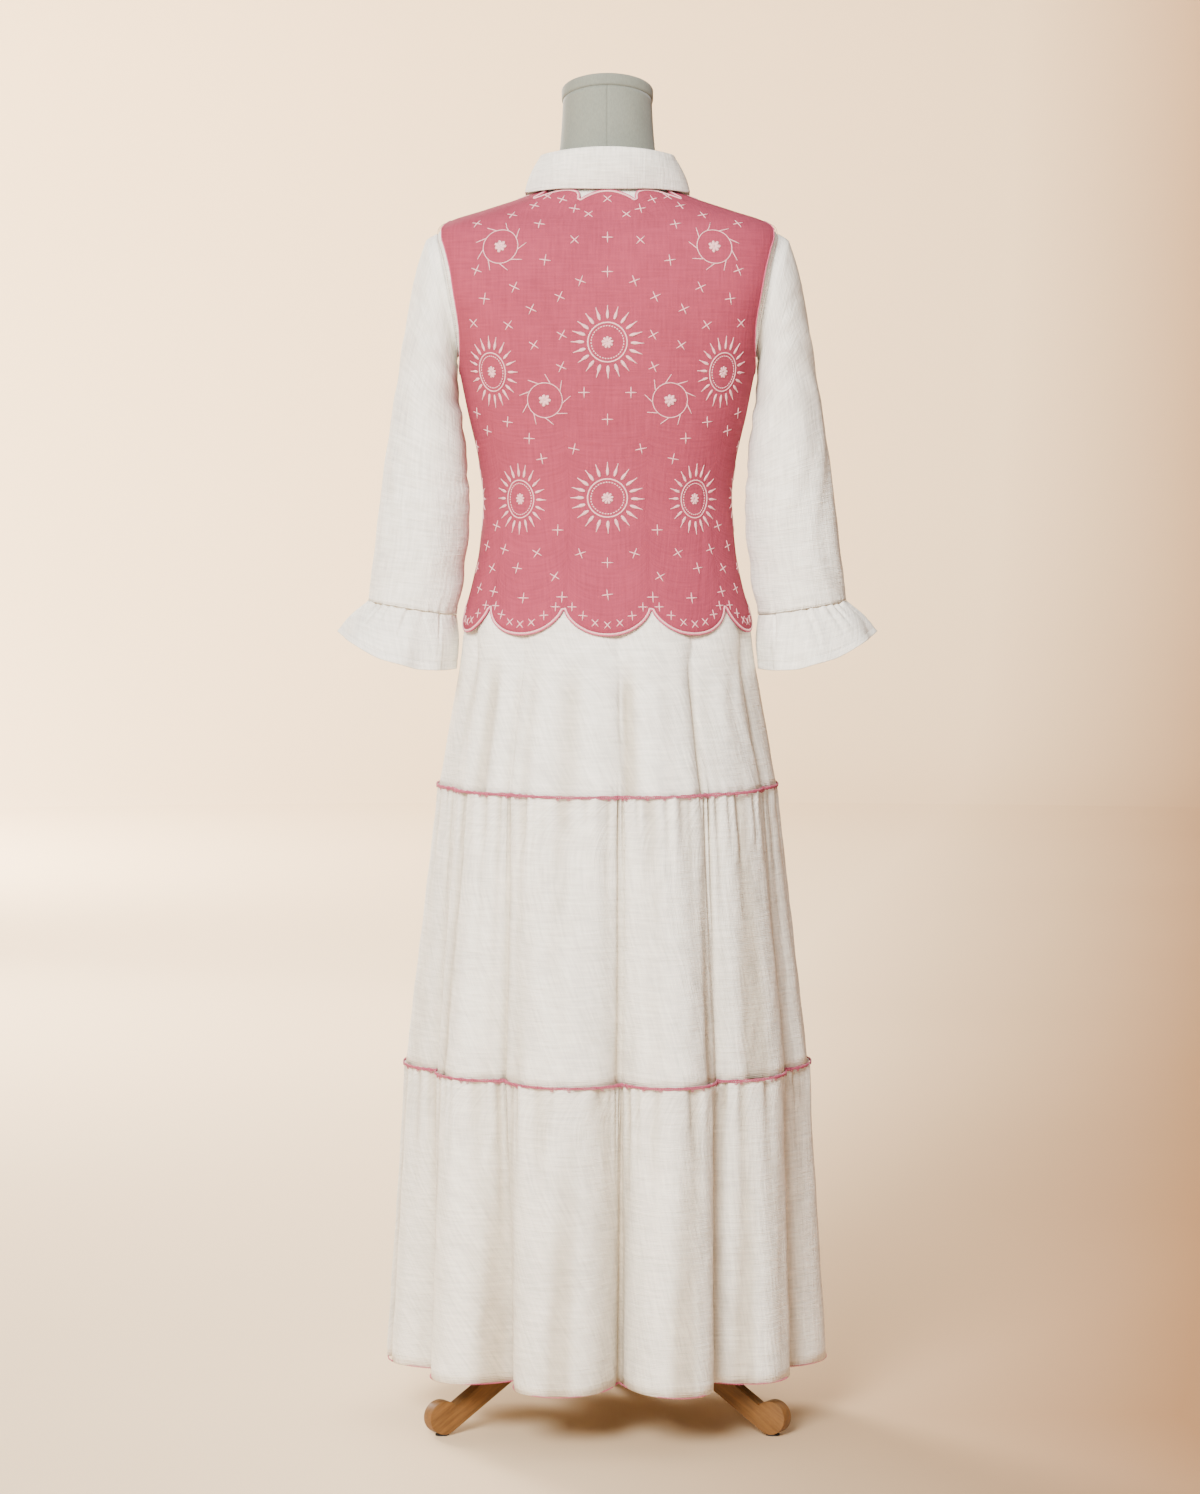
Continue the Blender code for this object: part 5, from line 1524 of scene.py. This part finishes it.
class DRESS_OT_form(bpy.types.Operator):
    """Makes the dress form's padded torso and its tilted neck cap"""

    bl_idname = "dress.make_form"
    bl_label = "Dress form"

    def execute(self, context):
        linen = finish("grey_linen_jersey")
        near = np.array([0.15, 0.4, 0.8, 1.3])
        turns = np.concatenate([np.arange(2.0, 179.0, 2.0), near, 180.0 - near])
        turns = np.sort(np.concatenate([turns, -turns, [0.0, 180.0]]))
        heights = np.concatenate([np.linspace(FORM_BASE_HEIGHT, 1.42, 60), np.linspace(1.425, NECK_TOP, 50)])
        grid = figure_point(turns[None, :], heights[:, None], form=True)
        away = np.abs(grid[..., 0])
        seam = 0.0009 * np.exp(-((away / 0.0011) ** 2)) - 0.0003 * np.exp(-(((away - 0.0028) / 0.0012) ** 2))
        grid = grid - figure_normal(turns[None, :], heights[:, None]) * seam[..., None]
        middle = through(FIGURE, MIDDLE, heights)[:, None]
        slope = CAP_TILT * smooth((heights - 1.55) / 0.09)[:, None]
        grid[..., 2] = heights[:, None] - slope * (grid[..., 1] - middle) - CAP_DROP * slope / CAP_TILT
        ends = []
        for row, level in ((grid[0], middle[0]), (grid[-1], middle[-1])):
            centre = np.array([0.0, level[0], row[:, 2].mean()])
            ends.append([centre + (row - centre) * share for share in (0.0, 0.5, 0.96)])
        grid = np.concatenate([np.stack(ends[0]), grid, np.stack(ends[1][::-1])])
        made = sheet_object("padded_torso", grid, linen, closed=True)
        select_only(made)
        bpy.ops.object.mode_set(mode="EDIT")
        bpy.ops.mesh.select_all(action="SELECT")
        bpy.ops.mesh.remove_doubles(threshold=0.00002)
        bpy.ops.object.mode_set(mode="OBJECT")
        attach(made, "root")
        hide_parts("form_torso")

        cap = add_cylinder("padded_neck_cap", 72, 1.0, CAP_THICKNESS, (0.0, 0.0, CAP_THICKNESS / 2))
        neck_width, neck_depth, _, neck_middle = FIGURE[-1, HALF_WIDTH:POWER]
        cap.scale = (neck_width + CAP_OVERHANG, neck_depth + CAP_OVERHANG, 1.0)
        bpy.ops.object.transform_apply(location=True, rotation=False, scale=True)
        select_faces(cap, lambda centre, normal: normal.z > 0.9)
        bpy.ops.mesh.inset(thickness=0.012)
        bpy.ops.transform.translate(value=(0.0, 0.0, 0.0005))
        bpy.ops.object.mode_set(mode="OBJECT")
        round_rims(cap, 0.0026, 4)
        seat = NECK_TOP - CAP_DROP + SEAM_GAP
        tilt = Matrix(((1, 0, 0, 0), (0, 1, 0, neck_middle), (0, -CAP_TILT, 1, seat), (0, 0, 0, 1)))
        cap.data.transform(tilt)
        finish_part(cap, linen, ("form_neck_cap",))
        return {"FINISHED"}


class DRESS_OT_stand(bpy.types.Operator):
    """Makes the tripod: three boards with round feet, a turned hub and a pole"""

    bl_idname = "dress.make_stand"
    bl_label = "Tripod stand"

    def execute(self, context):
        beech = finish("varnished_stained_beech")
        foot = Vector((FOOT_DISTANCE, 0.0, PAD_TOP + FOOT_RADIUS))
        inner = HUB_RADIUS + SEAM_GAP
        along = Vector((-math.cos(LEG_SLOPE), 0.0, math.sin(LEG_SLOPE)))
        upright = Vector((math.sin(LEG_SLOPE), 0.0, math.cos(LEG_SLOPE)))
        length = (FOOT_DISTANCE - inner) / math.cos(LEG_SLOPE) + 0.04
        bpy.ops.object.select_all(action="DESELECT")
        place = foot + along * (length / 2) + upright * (LEG_WIDTH / 2 - FOOT_RADIUS)
        bpy.ops.mesh.primitive_cube_add(size=1.0, location=place, rotation=(0.0, LEG_SLOPE, 0.0))
        leg = context.object
        leg.scale = (length, LEG_BOARD, LEG_WIDTH)
        bpy.ops.object.transform_apply(location=True, rotation=True, scale=True)
        bpy.ops.object.mode_set(mode="EDIT")
        bpy.ops.mesh.select_all(action="SELECT")
        bpy.ops.mesh.bisect(
            plane_co=(inner, 0.0, 0.0), plane_no=(1.0, 0.0, 0.0), use_fill=True, clear_inner=True)
        bpy.ops.object.mode_set(mode="OBJECT")
        round_foot = add_cylinder("round_foot", 56, FOOT_RADIUS, LEG_BOARD, foot, (math.pi / 2, 0.0, 0.0))
        apply_modifier(leg, "BOOLEAN", operation="UNION", object=round_foot, solver="EXACT")
        bpy.data.objects.remove(round_foot)
        bpy.ops.object.mode_set(mode="EDIT")
        bpy.ops.mesh.select_all(action="SELECT")
        bpy.ops.mesh.remove_doubles(threshold=0.00001)
        bpy.ops.mesh.dissolve_limited(angle_limit=math.radians(1.0))
        bpy.ops.object.mode_set(mode="OBJECT")
        round_rims(leg, 0.0016, 3)
        set_grain(leg, along, (0.0, 0.0, 0.0))
        for i, (name, turn) in enumerate(LEG_TURNS.items()):
            made = copied(leg, f"{name}_leg_board", Matrix.Rotation(math.radians(turn - 90.0), 4, "Z"))
            for point in made.data.attributes["grain"].data:
                point.vector = point.vector + Vector((0.31 * i, 0.07 * i, 0.0))
            finish_part(made, beech, (f"stand_leg_{name}",))
        bpy.data.objects.remove(leg)

        hub = add_turned("turned_hub", 64, HUB_RADIUS, HUB_LENGTH, HUB_MIDDLE_HEIGHT)
        select_faces(hub, lambda centre, normal: normal.z > 0.9)
        extrude_end(0.0140, HUB_END_RADIUS / HUB_RADIUS)
        extrude_end(0.0060, 0.0170 / HUB_END_RADIUS)
        select_faces(hub, lambda centre, normal: normal.z < -0.9)
        extrude_end(-0.0120, HUB_END_RADIUS / HUB_RADIUS)
        bpy.ops.object.mode_set(mode="OBJECT")
        round_rims(hub, 0.0014, 3, 20.0)
        set_grain(hub, (0.0, 0.0, 1.0), (0.9, 0.0, 0.0))
        finish_part(hub, beech, ("stand_hub",))

        length = FORM_BASE_HEIGHT - HUB_TOP - 2 * SEAM_GAP
        pole = add_turned("turned_pole", 48, POLE_RADIUS, length, HUB_TOP + SEAM_GAP + length / 2)
        round_rims(pole, 0.0015, 3)
        set_grain(pole, (0.0, 0.0, 1.0), (1.7, 0.1, 0.0))
        finish_part(pole, beech, ("stand_pole",))
        for name in LEG_TURNS:
            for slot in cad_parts[f"foot_pad_{name}"].material_slots:
                slot.material = finish("black_moulded_rubber")
        return {"FINISHED"}


class DRESS_OT_buttons(bpy.types.Operator):
    """Makes one four-hole button, sews copies of it down the vest's band and two on the shirt"""

    bl_idname = "dress.sew_buttons"
    bl_label = "Buttons"

    def execute(self, context):
        button = add_cylinder("button", 40, BUTTON_RADIUS, BUTTON_THICKNESS)
        select_faces(button, lambda centre, normal: normal.z > 0.9)
        bpy.ops.transform.resize(value=(0.93, 0.93, 1.0), center_override=(0.0, 0.0, 0.0))
        bpy.ops.mesh.inset(thickness=0.0013)
        bpy.ops.transform.translate(value=(0.0, 0.0, -0.0007))
        bpy.ops.object.mode_set(mode="OBJECT")
        for x in (-HOLE_PLACE, HOLE_PLACE):
            for y in (-HOLE_PLACE, HOLE_PLACE):
                drill = add_cylinder("drill", 12, HOLE_RADIUS, 0.01, (x, y, 0.0))
                apply_modifier(button, "BOOLEAN", operation="DIFFERENCE", object=drill, solver="EXACT")
                bpy.data.objects.remove(drill)
        round_rims(button, 0.0003, 2)
        places = []
        for i, height in enumerate(BUTTON_HEIGHTS, 1):
            seat = on_vest(180.0, height, 3 * SEAM_GAP + CLOTH + BUTTON_THICKNESS / 2)
            places.append((f"vest_band_button_{i}", f"vest_button_{i}", height, seat, 1.0))
        for i, height in enumerate(SHIRT_BUTTON_HEIGHTS, 1):
            seat = on_figure(180.0, height, BODICE_LIFT + 2 * SEAM_GAP + CLOTH + BUTTON_THICKNESS / 2)
            smaller = SHIRT_BUTTON_RADIUS / BUTTON_RADIUS
            places.append((f"shirt_front_button_{i}", f"shirt_button_{i}", height, seat, smaller))
        across = (-HOLE_PLACE, -0.0009, 0.0, 0.0009, HOLE_PLACE)
        strokes = []
        for name, node_name, height, seat, size in places:
            normal = Vector(figure_normal(180.0, height).tolist())
            matrix = Matrix.Translation(seat.tolist()) @ normal.to_track_quat("Z", "Y").to_matrix().to_4x4()
            matrix = matrix @ Matrix.Diagonal((size, size, 1.0, 1.0))
            made = copied(button, name, matrix)
            finish_part(made, finish("dyed_corozo"), (node_name,))
            for way in (-1.0, 1.0):
                rises = (-0.0010, 0.0006, 0.0007 + 0.0002 * way, 0.0006, -0.0010)
                line = [matrix @ Vector((x, way * x, 0.0002 + rise)) for x, rise in zip(across, rises)]
                strokes.append((np.array(line), np.array([normal] * len(line)), 0.00032, 0.00028))
        bpy.data.objects.remove(button)
        thread_object("button_threads", strokes, finish("pale_stranded_cotton"), sides=5)
        return {"FINISHED"}


class DRESS_OT_stage(bpy.types.Operator):
    """Sets out the paper backdrop, the soft lights and the camera"""

    bl_idname = "dress.set_stage"
    bl_label = "Backdrop, lights and camera"

    def execute(self, context):
        paper = finish("backdrop_paper")
        rounds = []
        for name, fill in (("paper_floor", "NGON"), ("paper_wall", "NOTHING")):
            bpy.ops.object.select_all(action="DESELECT")
            bpy.ops.mesh.primitive_circle_add(
                vertices=128, radius=PAPER_RADIUS, fill_type=fill, location=(0.0, 0.0, 0.0))
            context.object.name = name
            rounds.append(context.object)
        floor, wall = rounds
        select_faces(floor, lambda centre, normal: True)
        bpy.ops.mesh.inset(thickness=3.0)
        bpy.ops.object.mode_set(mode="OBJECT")
        floor.data.materials.append(paper)
        select_only(wall)
        bpy.ops.object.mode_set(mode="EDIT")
        bpy.ops.mesh.select_mode(type="EDGE")
        bpy.ops.mesh.select_all(action="SELECT")
        radius, height = PAPER_RADIUS, 0.0
        for i in range(1, COVE_STEPS + 1):
            angle = math.pi / 2 * i / COVE_STEPS
            wider = PAPER_RADIUS + COVE_RADIUS * math.sin(angle)
            higher = COVE_RADIUS * (1.0 - math.cos(angle))
            extrude_end(higher - height, wider / radius)
            radius, height = wider, higher
        bpy.ops.mesh.extrude_region_move(TRANSFORM_OT_translate={"value": (0.0, 0.0, WALL_RISE)})
        bpy.ops.mesh.select_all(action="SELECT")
        bpy.ops.mesh.normals_make_consistent(inside=True)
        bpy.ops.object.mode_set(mode="OBJECT")
        wall.data.materials.append(paper)
        wall.data.shade_smooth()
        wall.visible_shadow = False

        world = bpy.data.worlds.new("soft_room")
        context.scene.world = world
        world.use_nodes = True
        background = world.node_tree.nodes["Background"]
        background.inputs["Color"].default_value = (*linear("FFFCF9"), 1.0)
        background.inputs["Strength"].default_value = 0.88
        for name, place, target, size, energy, spread, tint in LIGHTS:
            light = bpy.data.lights.new(name, "AREA")
            light.shape = "DISK"
            light.size = size
            light.energy = energy
            light.spread = math.radians(spread)
            light.color = linear(tint)
            lamp = bpy.data.objects.new(name, light)
            lamp.location = place
            lamp.rotation_euler = (Vector(target) - lamp.location).to_track_quat("-Z", "Y").to_euler()
            context.scene.collection.objects.link(lamp)

        camera = bpy.data.objects.new("front_camera", bpy.data.cameras.new("front_camera"))
        camera.location = CAMERA_PLACE
        camera.rotation_euler = (math.pi / 2 - CAMERA_PITCH, 0.0, 0.0)
        camera.data.lens = 116.2
        camera.data.sensor_width = 36.0
        context.scene.collection.objects.link(camera)
        context.scene.camera = camera
        return {"FINISHED"}


class DRESS_PT_pieces(bpy.types.Panel):
    """Lists the dress's sizes, colours and pieces"""

    bl_idname = "DRESS_PT_pieces"
    bl_label = "Tiered Dress"
    bl_space_type = "VIEW_3D"
    bl_region_type = "UI"
    bl_category = "Tiered Dress"

    def draw(self, context):
        for title, group in (("Sizes", context.scene.dress_sizes), ("Colours", context.scene.dress_colours)):
            box = self.layout.box()
            box.label(text=title)
            for key in group.__annotations__:
                box.prop(group, key)
        column = self.layout.column(align=True)
        for operator in OPERATORS:
            column.operator(operator.bl_idname)


OPERATORS = (
    DRESS_OT_stage,
    DRESS_OT_form,
    DRESS_OT_stand,
    DRESS_OT_bodice,
    DRESS_OT_skirt,
    DRESS_OT_braids,
    DRESS_OT_sleeves,
    DRESS_OT_collar,
    DRESS_OT_vest,
    DRESS_OT_buttons,
    DRESS_OT_embroidery,
)
CLASSES = (DressSizes, DressColours, *OPERATORS, DRESS_PT_pieces)


def register():
    for made in CLASSES:
        bpy.utils.register_class(made)
    bpy.types.Scene.dress_sizes = bpy.props.PointerProperty(type=DressSizes)
    bpy.types.Scene.dress_colours = bpy.props.PointerProperty(type=DressColours)


def unregister():
    del bpy.types.Scene.dress_colours
    del bpy.types.Scene.dress_sizes
    for made in reversed(CLASSES):
        bpy.utils.unregister_class(made)


def main():
    register()
    bpy.ops.dress.set_stage()
    bpy.ops.dress.make_form()
    bpy.ops.dress.make_stand()
    bpy.ops.dress.make_bodice()
    bpy.ops.dress.make_skirt()
    bpy.ops.dress.make_braids()
    bpy.ops.dress.make_sleeves()
    bpy.ops.dress.make_collar()
    bpy.ops.dress.make_vest()
    bpy.ops.dress.sew_buttons()
    bpy.ops.dress.embroider_vest()


if __name__ == "__main__":
    main()
